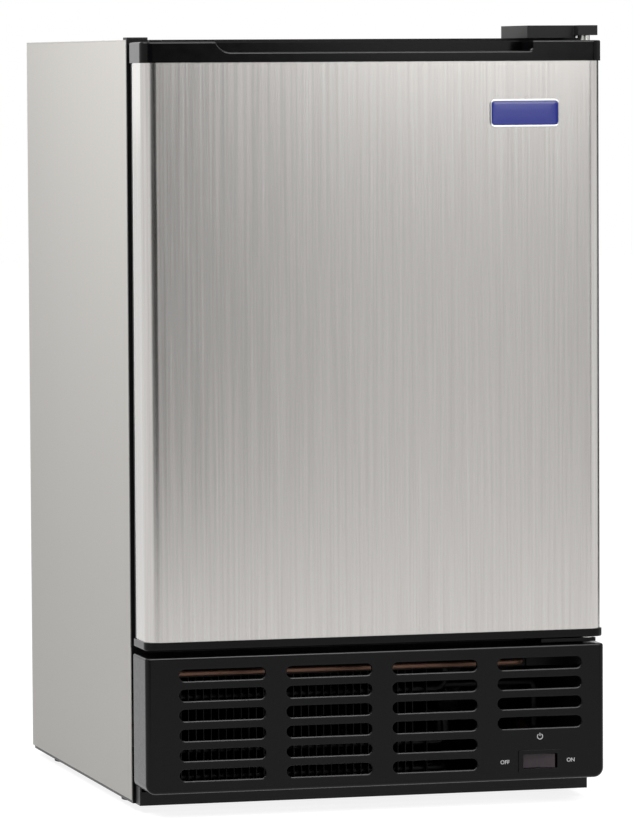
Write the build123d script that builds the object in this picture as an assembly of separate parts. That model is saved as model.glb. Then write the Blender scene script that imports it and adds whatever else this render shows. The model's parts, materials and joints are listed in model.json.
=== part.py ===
"""A compact ice maker: cabinet, hinged door, ice module, bin and refrigeration works. Millimetres, +Z up."""
import os
from math import acos, cos, pi, radians, sin, sqrt, tan

from build123d import *

os.makedirs("parts", exist_ok=True)

# Overall sizes
CABINET_WIDTH = 380.0
OVERALL_DEPTH = 436.0
CABINET_HEIGHT = 616.0
FOOT_GAP = 6.0

# Walls and clearances
STEEL = 1.0
PLASTIC = 2.5
PAN_STEEL = 1.5
RUN_FIT = 0.05
PRESS_FIT = 0.02
LOOSE_FIT = 0.2
CUT_OVER = 1.0

# Cabinet
FRAME_LIP = 3.0
BACK_RECESS = 4.0
SIDE_LIFT = 2.4
SIDE_WALL = 38.0
TOP_WALL = 50.0
BACK_WALL = 46.0
FLOOR_WALL = 35.0
CAVITY_RADIUS = 12.0
DECK_RAIL = 26.0
PAN_TONGUE = 17.0
PAN_LIP = 11.0
PAN_FLANGE = 20.0
COVER_SCREW_INSET = 32.0

# Door
BADGE_THICKNESS = 1.0
BADGE_LENGTH = 58.0
BADGE_HEIGHT = 22.0
BADGE_RADIUS = 4.0
BADGE_FROM_EDGE = 66.0
BADGE_BELOW_TRIM = 41.5
DOOR_SIDE_DEPTH = 36.0
DOOR_DROP = 2.0
SKIN_INSET = 1.0
SKIN_CORNER = 11.0
TRIM_CORNER = 9.0
TRIM_EDGE = 1.5
TOP_TRIM_HEIGHT = 16.4
BOTTOM_TRIM_HEIGHT = 6.6
RETAINER_DEPTH = 3.5
RETAINER_WIDTH = 30.0
GASKET_DEPTH = 9.7
GASKET_GAP = 0.3
GASKET_WIDTH = 16.0
GASKET_FROM_TRIM = 6.0
DOOR_BULGE = 20.0
BULGE_SIDE_GAP = 17.0
BULGE_END_GAP = 22.0
BULGE_RADIUS = 14.0
POCKET_LIP = 6.0
POCKET_FROM_END = 58.5
POCKET_TO_LINER = 1.5
POCKET_DEPTH = 32.0
POCKET_LIP_DROP = 8.4
POCKET_LEFT_RADIUS = 14.0
POCKET_RIGHT_RADIUS = 3.0

# Door hinges
PIN_INSET = 10.0
PIN_BACK = 17.0
PIN_RADIUS = 4.0
BUSH_RADIUS = 7.0
LOWER_BUSH_LENGTH = 16.0
BRACKET_STEEL = 3.0
BRACKET_JOGGLE = 2.0
BRACKET_REACH = 36.0
BRACKET_LENGTH = 51.0
PIN_RIM = 6.0
HINGE_COVER_WALL = 1.8
HINGE_COVER_GAP = 0.5
HINGE_COVER_HEADROOM = 1.2
HINGE_COVER_NOSE = 11.0
LOWER_BRACKET_LENGTH = 46.0
COLLAR_HEIGHT = 1.4
COLLAR_GAP = 0.3
KICK_TO_BRACKET = 1.0
COLLAR_RADIUS = 6.0
PLUG_HEAD = 1.6
PLUG_HEAD_RADIUS = 5.5
PLUG_LENGTH = 10.0
PLUG_INSET = 15.0
BLANK_PLATE_WIDTH = 17.0
BLANK_PLATE_DEPTH = 14.0
BLANK_PLATE_HEIGHT = 2.0
SCREW_RADIUS = 2.0
SCREW_HEAD_RADIUS = 3.8
SCREW_HEAD_HEIGHT = 2.0
SCREW_GRIP = 10.0

# Kick plate and switch
KICK_LIFT = 13.0
KICK_HEIGHT = 109.0
KICK_BACK_SET = 1.0
KICK_TO_CABINET = 10.0
KICK_WALL = 3.0
KICK_EDGE = 4.0
KICK_TOP_EDGE = 2.0
KICK_BOTTOM_CORNER = 8.0
KICK_BOTTOM_LIP = 12.0
EAR_HEIGHT = 54.0
EAR_LIFT = 18.0
EAR_GAP = 1.0
SLOT_HEIGHT = 9.0
SLOT_COLUMNS = 4
SLOT_ROWS = 6
SLOT_ROWS_OVER_SWITCH = 4
SLOT_BELOW_TOP = 14.5
SLOT_ABOVE_BOTTOM = 15.0
SLOT_FROM_LEFT = 27.2
SLOT_FROM_RIGHT = 19.2
SLOT_BRIDGE = 17.2
SWITCH_LENGTH = 36.6
SWITCH_HEIGHT = 18.4
SWITCH_BEZEL = 1.0
SWITCH_BODY_DEPTH = 24.0
SWITCH_RIM_X = 2.0
SWITCH_RIM_Z = 1.3
SWITCH_WALL = 2.0
SWITCH_FROM_BOTTOM = 15.3
ROCKER_TILT = 8.0
ROCKER_GAP = 0.35
ROCKER_PIVOT_BACK = 6.6
ROCKER_FRONT = 5.2
ROCKER_DIP = 1.5
ROCKER_BODY = 4.5
TRUNNION_RADIUS = 1.5
TERMINAL_LENGTH = 8.0
TERMINAL_WIDTH = 6.3
TERMINAL_THICK = 0.8

# Feet
FOOT_INSET_X = 22.0
FOOT_BACK_Y = 49.0
FOOT_TO_SHROUD = 7.5
FOOT_PAD_RADIUS = 14.0
FOOT_STEM_RADIUS = 4.0
FOOT_STEM_LENGTH = 26.0
FOOT_NUT_RADIUS = 9.0
FOOT_NUT_HEIGHT = 8.0

# Ice module
MODULE_WALL_GAP = 4.0
MODULE_BACK_GAP = 44.0
MODULE_TOP_GAP = 50.0
MOULD_POCKETS = 7
MOULD_POCKET_LENGTH = 24.0
MOULD_DIVIDER = 3.0
MOULD_POCKET_RADIUS = 26.0
MOULD_RIM = 6.0
MOULD_FLOOR = 8.0
MOULD_NOTCH_RADIUS = 6.0
MOULD_EAR_HALF = 9.0
MOULD_EAR_HEIGHT = 10.0
LUG_LENGTH = 14.0
LUG_HEIGHT = 12.0
SHAFT_RADIUS = 4.0
BLADE_GAP = 4.0
BLADE_THICK = 3.0
BLADE_WIDTH = 7.0
STRIPPER_THICK = 3.0
STRIPPER_OVERHANG = 4.0
STRIPPER_SHAFT_GAP = 1.5
STRIPPER_BLADE_GAP = 2.0
HEAD_LENGTH = 46.0
HEAD_ROOM = 4.6
GEAR_MODULE = 1.0
GEAR_TEETH = 48
PINION_TEETH = 16
GEAR_WIDTH = 6.0
PINION_OVER = 1.0
GEAR_FROM_WALL = 2.5
GEAR_BACKLASH = 0.25
GEAR_ADDENDUM = 0.9
GEAR_DEDENDUM = 1.25
MOTOR_RADIUS = 17.0
MOTOR_GAP = 3.0
MOTOR_SHAFT_RADIUS = 2.0
MOTOR_SHAFT_HOLD = 7.0
ARM_RADIUS = 1.5
ARM_OUT = 7.0
ARM_BELOW_AXIS = 32.0
ARM_DROP = 100.0
ARM_BEND = 6.0
ARM_LEG_GAP = 6.0
ARM_BOSS = 14.0
ARM_BOSS_LENGTH = 12.0
CUP_WIDTH = 16.0
CUP_LENGTH = 22.0
CUP_BELOW_TOP = 16.0
CUP_ABOVE_TOP = 19.0
CUP_WALL = 2.0
CUP_FROM_AXIS = 16.0
CUP_NOTCH_WIDTH = 8.0
CUP_NOTCH_DEPTH = 7.0
CUP_TUBE_GAP = 6.0

# Ice bin
BIN_SIDE_GAP = 15.0
BIN_FRONT_GAP = 35.0
BIN_BACK_GAP = 15.0
BIN_WALL = 3.0
BIN_OVER_ARM = 11.0
BIN_GRIP_LENGTH = 90.0
BIN_GRIP_HEIGHT = 22.0
BIN_GRIP_BELOW = 20.0

# Refrigeration and water
EVAPORATOR_GAP = 4.0
EVAPORATOR_THICK = 2.0
EVAPORATOR_LEFT = 67.0
EVAPORATOR_RIGHT = 22.0
EVAPORATOR_TOP = 20.0
EVAPORATOR_HEIGHT = 145.0
EVAPORATOR_TUBE = 3.5
EVAPORATOR_RUNS = 4
EVAPORATOR_MARGIN = 20.0
STANDOFF_RADIUS = 5.0
COMPRESSOR_RADIUS = 58.0
COMPRESSOR_ROUND = 20.0
COMPRESSOR_HEADROOM = 14.5
COMPRESSOR_FROM_RIGHT = 105.0
COMPRESSOR_FROM_COVER = 80.0
COMPRESSOR_PLATE = 3.0
COMPRESSOR_PLATE_X = 124.0
COMPRESSOR_PLATE_Y = 132.0
GROMMET_RADIUS = 9.0
GROMMET_HEIGHT = 9.0
GROMMET_INSET = 11.0
RELAY_DEPTH = 20.0
RELAY_LENGTH = 44.0
RELAY_HEIGHT = 46.0
RELAY_LIFT = 24.0
STUB_LENGTH = 6.0
STUB_RADIUS = 4.0
LINE_RADIUS = 3.0
SUCTION_RADIUS = 4.0
SUCTION_OFFSET = 40.0
STUB_LIFT = 52.0
LINE_BEND = 8.0
CONDENSER_FROM_LEFT = 25.0
CONDENSER_FROM_RIGHT = 130.0
CONDENSER_BEHIND_FRAME = 12.0
CONDENSER_DEPTH = 40.0
CONDENSER_TOP_GAP = 10.0
CONDENSER_LIFT = 4.5
FIN_THICK = 0.6
FIN_PITCH = 6.25
COIL_RADIUS = 3.0
COIL_ROWS = 5
COIL_TOP = 12.0
COIL_BOTTOM = 14.5
COIL_BEND_GAP = 1.0
COIL_COLUMN_PITCH = 20.0
COIL_END = 9.0
SHROUD_WALL = 1.5
FAN_RING_GAP = 4.0
FAN_RING_MARGIN = 5.75
FAN_RING_LENGTH = 30.0
FAN_HUB_RADIUS = 14.0
FAN_HUB_LENGTH = 16.0
FAN_HUB_BACK = 6.0
FAN_BLADES = 5
FAN_BLADE_CHORD = 22.0
FAN_BLADE_THICK = 2.0
FAN_BLADE_PITCH = 30.0
FAN_SHAFT_RADIUS = 2.5
FAN_SHAFT_HOLD = 24.0
FAN_MOTOR_RADIUS = 20.0
FAN_MOTOR_LENGTH = 40.0
FAN_MOTOR_GAP = 4.0
FAN_COLLAR = 3.0
FAN_ARM_WIDTH = 8.0
FAN_ARMS = 3
DRIER_RADIUS = 9.0
DRIER_LENGTH = 82.0
DRIER_CONE = 12.0
DRIER_LIFT = 42.0
DRIER_TO_COMPRESSOR = 4.0
DRIER_LEAD = 9.0
SMALL_BEND = 5.0
LOOP_GAP = 1.5
LOOP_FROM_LEFT = 12.0
LOOP_RISE = 30.0
COIL_START = 2.0
DISCHARGE_LEAD = 20.0
CAPILLARY_RADIUS = 1.2
CAPILLARY_LEAD = 30.0
CAPILLARY_FROM_RIGHT = 18.0
CAPILLARY_ABOVE_SUCTION = 10.0
CAPILLARY_LEFT_OF_SUCTION = 12.0
RISER_BEHIND_LINER = 7.5
RISER_TO_COVER = 8.0
VALVE_WIDTH = 36.0
VALVE_DEPTH = 26.0
VALVE_LIFT = 32.0
VALVE_HEIGHT = 40.0
NIPPLE_RADIUS = 10.0
NIPPLE_LENGTH = 20.0
NIPPLE_BORE = 5.0
HOSE_NUT_ROOM = 7.0
TUBE_RADIUS = 4.0
TUBE_BEND = 12.0
BOX_FROM_LEFT = 20.0
BOX_WIDTH = 60.0
BOX_DEPTH = 56.0
BOX_HEIGHT = 42.0
BOX_TO_VALVE = 70.0
GLAND_FROM_VALVE = 62.0
GLAND_RADIUS = 9.0
GLAND_BORE = 4.5
GLAND_OUT = 8.0
VENT_LENGTH = 60.0
VENT_HEIGHT = 6.0
VENT_PITCH = 14.0
VENT_ROWS = 4

# Planes and edges worked out from the sizes above
X_OUT = CABINET_WIDTH / 2
X_IN = X_OUT - STEEL
Y_FRONT = -OVERALL_DEPTH / 2
Y_BACK = OVERALL_DEPTH / 2
DOOR_FRONT = Y_FRONT + BADGE_THICKNESS
SKIN_BACK = DOOR_FRONT + DOOR_SIDE_DEPTH
LINER_SHEET_BACK = SKIN_BACK + PLASTIC
DOOR_BACK = LINER_SHEET_BACK + RETAINER_DEPTH
GASKET_BACK = DOOR_BACK + GASKET_DEPTH
FRAME_FRONT = GASKET_BACK + GASKET_GAP
CAB_FRONT = FRAME_FRONT + FRAME_LIP
BACK_OUT = Y_BACK - BACK_RECESS
BACK_IN = BACK_OUT - STEEL
TOP_IN = CABINET_HEIGHT - STEEL
PAN_TOP = FOOT_GAP + PAN_STEEL
SIDE_Z = FOOT_GAP + SIDE_LIFT
KICK_Z0 = FOOT_GAP + KICK_LIFT
KICK_Z1 = KICK_Z0 + KICK_HEIGHT
KICK_FRONT = DOOR_FRONT + KICK_BACK_SET
KICK_BACK = CAB_FRONT - KICK_TO_CABINET
LOWER_PLATE_Z0 = KICK_Z1 + KICK_TO_BRACKET
LOWER_PLATE_Z1 = LOWER_PLATE_Z0 + BRACKET_STEEL
DOOR_Z0 = LOWER_PLATE_Z1 + COLLAR_HEIGHT + COLLAR_GAP
SKIN_Z0 = DOOR_Z0 + BOTTOM_TRIM_HEIGHT
DOOR_Z1 = CABINET_HEIGHT - DOOR_DROP
SKIN_Z1 = DOOR_Z1 - TOP_TRIM_HEIGHT
SKIN_X = X_OUT - SKIN_INSET
DECK_Z0 = LOWER_PLATE_Z1
DECK_Z1 = DECK_Z0 + STEEL
CAV_X = X_OUT - SIDE_WALL
CAV_Y1 = Y_BACK - BACK_WALL
CAV_Z0 = DECK_Z1 + FLOOR_WALL
CAV_Z1 = CABINET_HEIGHT - TOP_WALL
PIN_X = X_OUT - PIN_INSET
PLUG_X = -X_OUT + PLUG_INSET
PIN_Y = DOOR_FRONT + PIN_BACK
RISER_Y = CAV_Y1 + PLASTIC + RISER_BEHIND_LINER
COVER_IN = RISER_Y + RISER_TO_COVER
COVER_OUT = COVER_IN + STEEL


def slab(x0, x1, y0, y1, z0, z1):
    """Return a box between two opposite corners."""
    middle = Pos((x0 + x1) / 2, (y0 + y1) / 2, (z0 + z1) / 2)
    return middle * Box(x1 - x0, y1 - y0, z1 - z0)


def rod_x(radius, x0, x1, y, z):
    """Return a cylinder along X."""
    return Pos((x0 + x1) / 2, y, z) * Rot(0, 90, 0) * Cylinder(radius, x1 - x0)


def rod_y(radius, x, y0, y1, z):
    """Return a cylinder along Y."""
    return Pos(x, (y0 + y1) / 2, z) * Rot(90, 0, 0) * Cylinder(radius, y1 - y0)


def rod_z(radius, x, y, z0, z1):
    """Return a cylinder along Z."""
    return Pos(x, y, (z0 + z1) / 2) * Cylinder(radius, z1 - z0)


def pipe(points, radius, bend):
    """Return a round bar along straight runs joined by arcs."""
    path = FilletPolyline(*points, radius=bend)
    start = Plane(origin=path @ 0, z_dir=path % 0)
    return sweep(start * Circle(radius), path=path)


def round_prism(x0, x1, z0, z1, y0, y1, radius):
    """Return a bar along Y with rounded long edges."""
    bar = slab(x0, x1, y0, y1, z0, z1)
    return fillet(bar.edges().filter_by(Axis.Y), radius)


def group(solids):
    """Return several separate solids as one shape."""
    return Compound(children=list(solids))


# Routes shared by a tube and the holes that it passes through

MOULD_HALF = MOULD_POCKET_RADIUS + MOULD_RIM
GEAR_TIP = GEAR_MODULE * (GEAR_TEETH / 2 + GEAR_ADDENDUM)
HEAD_HALF = GEAR_TIP + HEAD_ROOM + PLASTIC
MODULE_HALF = max(MOULD_HALF, HEAD_HALF)
AXIS_X = -CAV_X + MODULE_WALL_GAP + MODULE_HALF
MOULD_X0 = AXIS_X - MOULD_HALF
MOULD_X1 = AXIS_X + MOULD_HALF
AXIS_Z = CAV_Z1 - MODULE_TOP_GAP
MOULD_LENGTH = MOULD_POCKETS * (MOULD_POCKET_LENGTH + MOULD_DIVIDER) + MOULD_DIVIDER
MOULD_Y1 = CAV_Y1 - MODULE_BACK_GAP
MOULD_Y0 = MOULD_Y1 - MOULD_LENGTH
CUP_X = AXIS_X - CUP_FROM_AXIS
CUP_Z1 = AXIS_Z + CUP_ABOVE_TOP
VALVE_Z0 = PAN_TOP + VALVE_LIFT
VALVE_Z1 = VALVE_Z0 + VALVE_HEIGHT
TUBE_Z = CUP_Z1 + CUP_TUBE_GAP
FILL_TUBE_ROUTE = [
    (CUP_X, MOULD_Y1 + CUP_LENGTH / 2, TUBE_Z),
    (CUP_X, RISER_Y, TUBE_Z),
    (CUP_X, RISER_Y, VALVE_Z1),
]

COMPRESSOR_X = X_OUT - COMPRESSOR_FROM_RIGHT
COMPRESSOR_Y = COVER_IN - COMPRESSOR_FROM_COVER
PLATE_Z0 = PAN_TOP + GROMMET_HEIGHT
SHELL_Z0 = PLATE_Z0 + COMPRESSOR_PLATE
STUB_Z = PLATE_Z0 + STUB_LIFT
SUCTION_X = COMPRESSOR_X + SUCTION_OFFSET
SUCTION_STUB_Y = COMPRESSOR_Y + sqrt(COMPRESSOR_RADIUS ** 2 - SUCTION_OFFSET ** 2) + STUB_LENGTH
EVAPORATOR_Y1 = CAV_Y1 - EVAPORATOR_GAP
EVAPORATOR_Y0 = EVAPORATOR_Y1 - EVAPORATOR_THICK
EVAPORATOR_Z1 = CAV_Z1 - EVAPORATOR_TOP
EVAPORATOR_Z0 = EVAPORATOR_Z1 - EVAPORATOR_HEIGHT
EVAPORATOR_X0 = -CAV_X + EVAPORATOR_LEFT
EVAPORATOR_X1 = CAV_X - EVAPORATOR_RIGHT
SUCTION_Z = EVAPORATOR_Z0 + EVAPORATOR_MARGIN
SUCTION_ROUTE = [
    (SUCTION_X, EVAPORATOR_Y1, SUCTION_Z),
    (SUCTION_X, RISER_Y, SUCTION_Z),
    (SUCTION_X, RISER_Y, STUB_Z),
    (SUCTION_X, SUCTION_STUB_Y, STUB_Z),
]

CONDENSER_X0 = -X_OUT + CONDENSER_FROM_LEFT
CONDENSER_X1 = X_OUT - CONDENSER_FROM_RIGHT
CONDENSER_Y0 = CAB_FRONT + CONDENSER_BEHIND_FRAME
CONDENSER_Y1 = CONDENSER_Y0 + CONDENSER_DEPTH
CONDENSER_Z1 = DECK_Z0 - CONDENSER_TOP_GAP
COIL_Z = CONDENSER_Z1 - COIL_TOP
COIL_ROW_PITCH = (COIL_Z - PAN_TOP - COIL_BOTTOM) / (COIL_ROWS - 1)
COIL_BEND = min(COIL_ROW_PITCH, COIL_COLUMN_PITCH) / 2 - COIL_BEND_GAP
COIL_Y0 = (CONDENSER_Y0 + CONDENSER_Y1 - COIL_COLUMN_PITCH) / 2
COIL_Y1 = COIL_Y0 + COIL_COLUMN_PITCH
COIL_X0 = CONDENSER_X0 - COIL_END - COIL_BEND
COIL_X1 = CONDENSER_X1 + COIL_END + COIL_BEND
LOOP_X0 = -X_OUT + LOOP_FROM_LEFT
LOOP_X1 = PIN_X + PIN_RIM - LOWER_BRACKET_LENGTH - LINE_RADIUS - LOOP_GAP
LOOP_Y = CAB_FRONT - LINE_RADIUS
COIL_START_X = CONDENSER_X0 - COIL_START
DISCHARGE_FRONT = COMPRESSOR_Y - COMPRESSOR_RADIUS - STUB_LENGTH
DISCHARGE_ROUTE = [
    (COMPRESSOR_X, DISCHARGE_FRONT, STUB_Z),
    (COMPRESSOR_X, DISCHARGE_FRONT - DISCHARGE_LEAD, STUB_Z),
    (LOOP_X1, CONDENSER_Y1 + LOOP_RISE, STUB_Z),
    (LOOP_X1, CONDENSER_Y1 + LOOP_RISE, COIL_Z),
    (LOOP_X1, LOOP_Y, COIL_Z),
    (LOOP_X0, LOOP_Y, COIL_Z),
    (LOOP_X0, COIL_Y0, COIL_Z),
    (COIL_START_X, COIL_Y0, COIL_Z),
]
DRIER_X = COMPRESSOR_X + COMPRESSOR_PLATE_X / 2 + DRIER_TO_COMPRESSOR + DRIER_RADIUS
DRIER_Z = PAN_TOP + DRIER_LIFT
DRIER_Y0 = COIL_Y1 + DRIER_LEAD
DRIER_Y1 = DRIER_Y0 + DRIER_LENGTH
CAPILLARY_X = X_OUT - CAPILLARY_FROM_RIGHT
CAPILLARY_Z = SUCTION_Z + CAPILLARY_ABOVE_SUCTION
CAPILLARY_END_X = SUCTION_X - CAPILLARY_LEFT_OF_SUCTION
CAPILLARY_ROUTE = [
    (DRIER_X, DRIER_Y1, DRIER_Z),
    (DRIER_X, DRIER_Y1 + CAPILLARY_LEAD, DRIER_Z),
    (CAPILLARY_X, DRIER_Y1 + 2 * CAPILLARY_LEAD, DRIER_Z),
    (CAPILLARY_X, RISER_Y, DRIER_Z),
    (CAPILLARY_X, RISER_Y, CAPILLARY_Z),
    (CAPILLARY_END_X, RISER_Y, CAPILLARY_Z),
    (CAPILLARY_END_X, EVAPORATOR_Y1, CAPILLARY_Z),
]


def tube_holes():
    """Return the room that three tubes need through the liner, foam and deck."""
    fill = pipe(FILL_TUBE_ROUTE, TUBE_RADIUS + LOOSE_FIT, TUBE_BEND)
    suction = pipe(SUCTION_ROUTE, SUCTION_RADIUS + LOOSE_FIT, LINE_BEND - LOOSE_FIT)
    capillary = pipe(CAPILLARY_ROUTE, CAPILLARY_RADIUS + LOOSE_FIT, SMALL_BEND)
    return [fill, suction, capillary]


# Cabinet


def side_panel(side):
    """Return a side panel, on the left for -1 and on the right for +1."""
    edges = sorted((side * X_IN, side * X_OUT))
    return slab(edges[0], edges[1], CAB_FRONT, Y_BACK, SIDE_Z, TOP_IN)


def upper_screw_places():
    """Return the upper hinge's screw places on the cabinet top."""
    x1 = PIN_X + PIN_RIM
    y = CAB_FRONT + BRACKET_REACH / 2
    pitch = BRACKET_LENGTH / 3
    return [(x1 - pitch * (count + 0.5), y) for count in range(3)]


def top_panel():
    panel = slab(-X_OUT, X_OUT, CAB_FRONT, Y_BACK, TOP_IN, CABINET_HEIGHT)
    for x, y in upper_screw_places():
        panel -= rod_z(SCREW_RADIUS + RUN_FIT, x, y, TOP_IN - CUT_OVER, CABINET_HEIGHT + CUT_OVER)
    return panel


def back_panel():
    return slab(-X_IN, X_IN, BACK_IN, BACK_OUT, DECK_Z1, TOP_IN)


def lower_screw_places():
    """Return the lower hinge's screw places on the deck rail."""
    x1 = PIN_X + PIN_RIM
    z = DECK_Z0 - DECK_RAIL / 2
    pitch = LOWER_BRACKET_LENGTH / 2
    return [(x1 - pitch * (count + 0.5), z) for count in range(2)]


def cover_screw_places():
    """Return the rear cover's screw places, a row at the top and a row at the bottom."""
    rows = (PAN_TOP + PAN_FLANGE / 2, DECK_Z0 - PAN_FLANGE / 2)
    reach = X_IN - COVER_SCREW_INSET
    return [(x, z) for z in rows for x in (-reach, 0.0, reach)]


def deck_panel():
    deck = slab(-X_IN, X_IN, CAB_FRONT, BACK_OUT, DECK_Z0, DECK_Z1)
    deck += slab(-X_IN, X_IN, CAB_FRONT, CAB_FRONT + STEEL, DECK_Z0 - DECK_RAIL, DECK_Z0)
    deck += slab(-X_IN, X_IN, COVER_IN - STEEL, COVER_IN, DECK_Z0 - PAN_FLANGE, DECK_Z0)
    for x, z in lower_screw_places():
        deck -= rod_y(SCREW_RADIUS + RUN_FIT, x, CAB_FRONT - CUT_OVER, CAB_FRONT + STEEL + CUT_OVER, z)
    for x, z in cover_screw_places():
        deck -= rod_y(SCREW_RADIUS + RUN_FIT, x, COVER_IN - STEEL - CUT_OVER, COVER_IN + CUT_OVER, z)
    for hole in tube_holes():
        deck -= hole
    return deck - pipe(DISCHARGE_ROUTE, LINE_RADIUS + LOOSE_FIT, SMALL_BEND)


def cavity(y0, y1, grow):
    """Return the rounded room inside the liner, grown by a wall."""
    return round_prism(
        -CAV_X - grow, CAV_X + grow, CAV_Z0 - grow, CAV_Z1 + grow, y0, y1, CAVITY_RADIUS + grow
    )


def front_frame():
    frame = slab(-X_OUT, X_OUT, FRAME_FRONT, CAB_FRONT, DECK_Z0, CABINET_HEIGHT)
    return frame - cavity(FRAME_FRONT - CUT_OVER, CAB_FRONT + CUT_OVER, 0.0)


def inner_liner():
    liner = slab(-X_IN, X_IN, CAB_FRONT, CAB_FRONT + PLASTIC, DECK_Z1, TOP_IN)
    liner += cavity(CAB_FRONT, CAV_Y1 + PLASTIC, PLASTIC)
    liner -= cavity(CAB_FRONT - CUT_OVER, CAV_Y1, 0.0)
    for hole in tube_holes():
        liner -= hole
    for x, y in upper_screw_places():
        liner -= rod_z(SCREW_RADIUS + RUN_FIT, x, y, TOP_IN - SCREW_GRIP, TOP_IN + CUT_OVER)
    return liner


def cabinet_foam():
    foam = slab(-X_IN, X_IN, CAB_FRONT + PLASTIC, BACK_IN, DECK_Z1, TOP_IN)
    foam -= cavity(CAB_FRONT, CAV_Y1 + PLASTIC, PLASTIC)
    for hole in tube_holes():
        foam -= hole
    for x, y in upper_screw_places():
        foam -= rod_z(SCREW_RADIUS + RUN_FIT, x, y, TOP_IN - SCREW_GRIP, TOP_IN + CUT_OVER)
    return foam


def foot_places():
    """Return the four foot places: front left, front right, back left, back right."""
    x = X_OUT - FOOT_INSET_X
    front = CONDENSER_Y1 + SHROUD_WALL + FOOT_TO_SHROUD + FOOT_NUT_RADIUS
    rows = (front, BACK_OUT - FOOT_BACK_Y)
    return [(side * x, y) for y in rows for side in (-1, 1)]


def base_pan():
    tongue_y = CAB_FRONT - PAN_TONGUE
    ear_x = X_OUT - KICK_WALL
    ear_y = KICK_FRONT + KICK_BOTTOM_LIP + EAR_GAP
    pan = slab(-X_IN, X_IN, CAB_FRONT, BACK_OUT, FOOT_GAP, PAN_TOP)
    pan += slab(-ear_x, ear_x, tongue_y, CAB_FRONT, FOOT_GAP, PAN_TOP)
    pan += slab(-ear_x, ear_x, tongue_y, tongue_y + PAN_STEEL, FOOT_GAP, FOOT_GAP + PAN_LIP)
    pan += slab(-X_IN, X_IN, COVER_IN - PAN_STEEL, COVER_IN, FOOT_GAP, PAN_TOP + PAN_FLANGE)
    for side in (-1, 1):
        flange = sorted((side * (X_IN - PAN_STEEL), side * X_IN))
        ear = sorted((side * (ear_x - PAN_STEEL), side * ear_x))
        pan += slab(flange[0], flange[1], CAB_FRONT, BACK_OUT, FOOT_GAP, PAN_TOP + PAN_FLANGE)
        pan += slab(ear[0], ear[1], tongue_y, CAB_FRONT, FOOT_GAP, FOOT_GAP + EAR_HEIGHT)
        pan += slab(ear[0], ear[1], ear_y, tongue_y, FOOT_GAP + EAR_LIFT, FOOT_GAP + EAR_HEIGHT)
    for x, y in foot_places():
        pan += rod_z(FOOT_NUT_RADIUS, x, y, PAN_TOP, PAN_TOP + FOOT_NUT_HEIGHT)
        nut_top = PAN_TOP + FOOT_NUT_HEIGHT
        pan -= rod_z(FOOT_STEM_RADIUS + RUN_FIT, x, y, FOOT_GAP - CUT_OVER, nut_top + CUT_OVER)
    for x, z in cover_screw_places():
        pan -= rod_y(SCREW_RADIUS + RUN_FIT, x, COVER_IN - PAN_STEEL - CUT_OVER, COVER_IN + CUT_OVER, z)
    return pan


def vent_slots():
    """Return the cuts for two columns of vents in the rear cover."""
    middle_z = (PAN_TOP + DECK_Z0) / 2
    cuts = []
    for x in (COMPRESSOR_X, COMPRESSOR_X - VENT_LENGTH - VENT_PITCH):
        for row in range(VENT_ROWS):
            z = middle_z + VENT_PITCH * (row - (VENT_ROWS - 1) / 2)
            cut = extrude(SlotOverall(VENT_LENGTH, VENT_HEIGHT), STEEL + CUT_OVER, both=True)
            cuts.append(Pos(x, COVER_IN, z) * Rot(90, 0, 0) * cut)
    return cuts


GLAND_X = CUP_X + GLAND_FROM_VALVE
GLAND_Z = PAN_TOP + PAN_FLANGE + GLAND_RADIUS
NIPPLE_Z = (VALVE_Z0 + VALVE_Z1) / 2


def rear_cover():
    half = X_IN - PAN_STEEL
    flange_top = PAN_TOP + PAN_FLANGE
    cover = slab(-half, half, COVER_IN, COVER_OUT, PAN_TOP, DECK_Z0)
    cover += slab(-X_IN, X_IN, COVER_IN, COVER_OUT, flange_top, DECK_Z0)
    for cut in vent_slots():
        cover -= cut
    cover -= rod_y(NIPPLE_RADIUS + HOSE_NUT_ROOM, CUP_X, COVER_IN - CUT_OVER, COVER_OUT + CUT_OVER, NIPPLE_Z)
    cover -= rod_y(GLAND_RADIUS + PRESS_FIT, GLAND_X, COVER_IN - CUT_OVER, COVER_OUT + CUT_OVER, GLAND_Z)
    for x, z in cover_screw_places():
        cover -= rod_y(SCREW_RADIUS + RUN_FIT, x, COVER_IN - CUT_OVER, COVER_OUT + CUT_OVER, z)
    return cover


def levelling_foot(x, y):
    pad = rod_z(FOOT_PAD_RADIUS, x, y, 0.0, FOOT_GAP)
    return pad + rod_z(FOOT_STEM_RADIUS, x, y, FOOT_GAP, FOOT_GAP + FOOT_STEM_LENGTH)


# Door


def door_prism(half_width, y0, y1, z0, z1, corner):
    """Return a door-shaped block with its two front corners rounded."""
    block = slab(-half_width, half_width, y0, y1, z0, z1)
    return fillet(block.edges().filter_by(Axis.Z).group_by(Axis.Y)[0], corner)


def door_skin():
    skin = door_prism(SKIN_X, DOOR_FRONT, SKIN_BACK, SKIN_Z0, SKIN_Z1, SKIN_CORNER)
    inner = door_prism(
        SKIN_X - STEEL, DOOR_FRONT + STEEL, SKIN_BACK + CUT_OVER, SKIN_Z0 - CUT_OVER, SKIN_Z1 + CUT_OVER,
        SKIN_CORNER - STEEL,
    )
    return skin - inner


def bulge(grow, y0, y1):
    """Return the raised middle of the door's inner liner, grown outward by a wall."""
    x = CAV_X - BULGE_SIDE_GAP + grow
    z0 = CAV_Z0 + BULGE_END_GAP - grow
    z1 = CAV_Z1 - BULGE_END_GAP + grow
    return round_prism(-x, x, z0, z1, y0, y1, BULGE_RADIUS + grow)


BULGE_BACK = SKIN_BACK + DOOR_BULGE
POCKET_Y0 = DOOR_FRONT + POCKET_LIP
POCKET_Y1 = SKIN_BACK - PLASTIC - POCKET_TO_LINER
POCKET_LENGTH = CABINET_WIDTH - 2 * POCKET_FROM_END
POCKET_Z0 = DOOR_Z1 - POCKET_DEPTH


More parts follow.
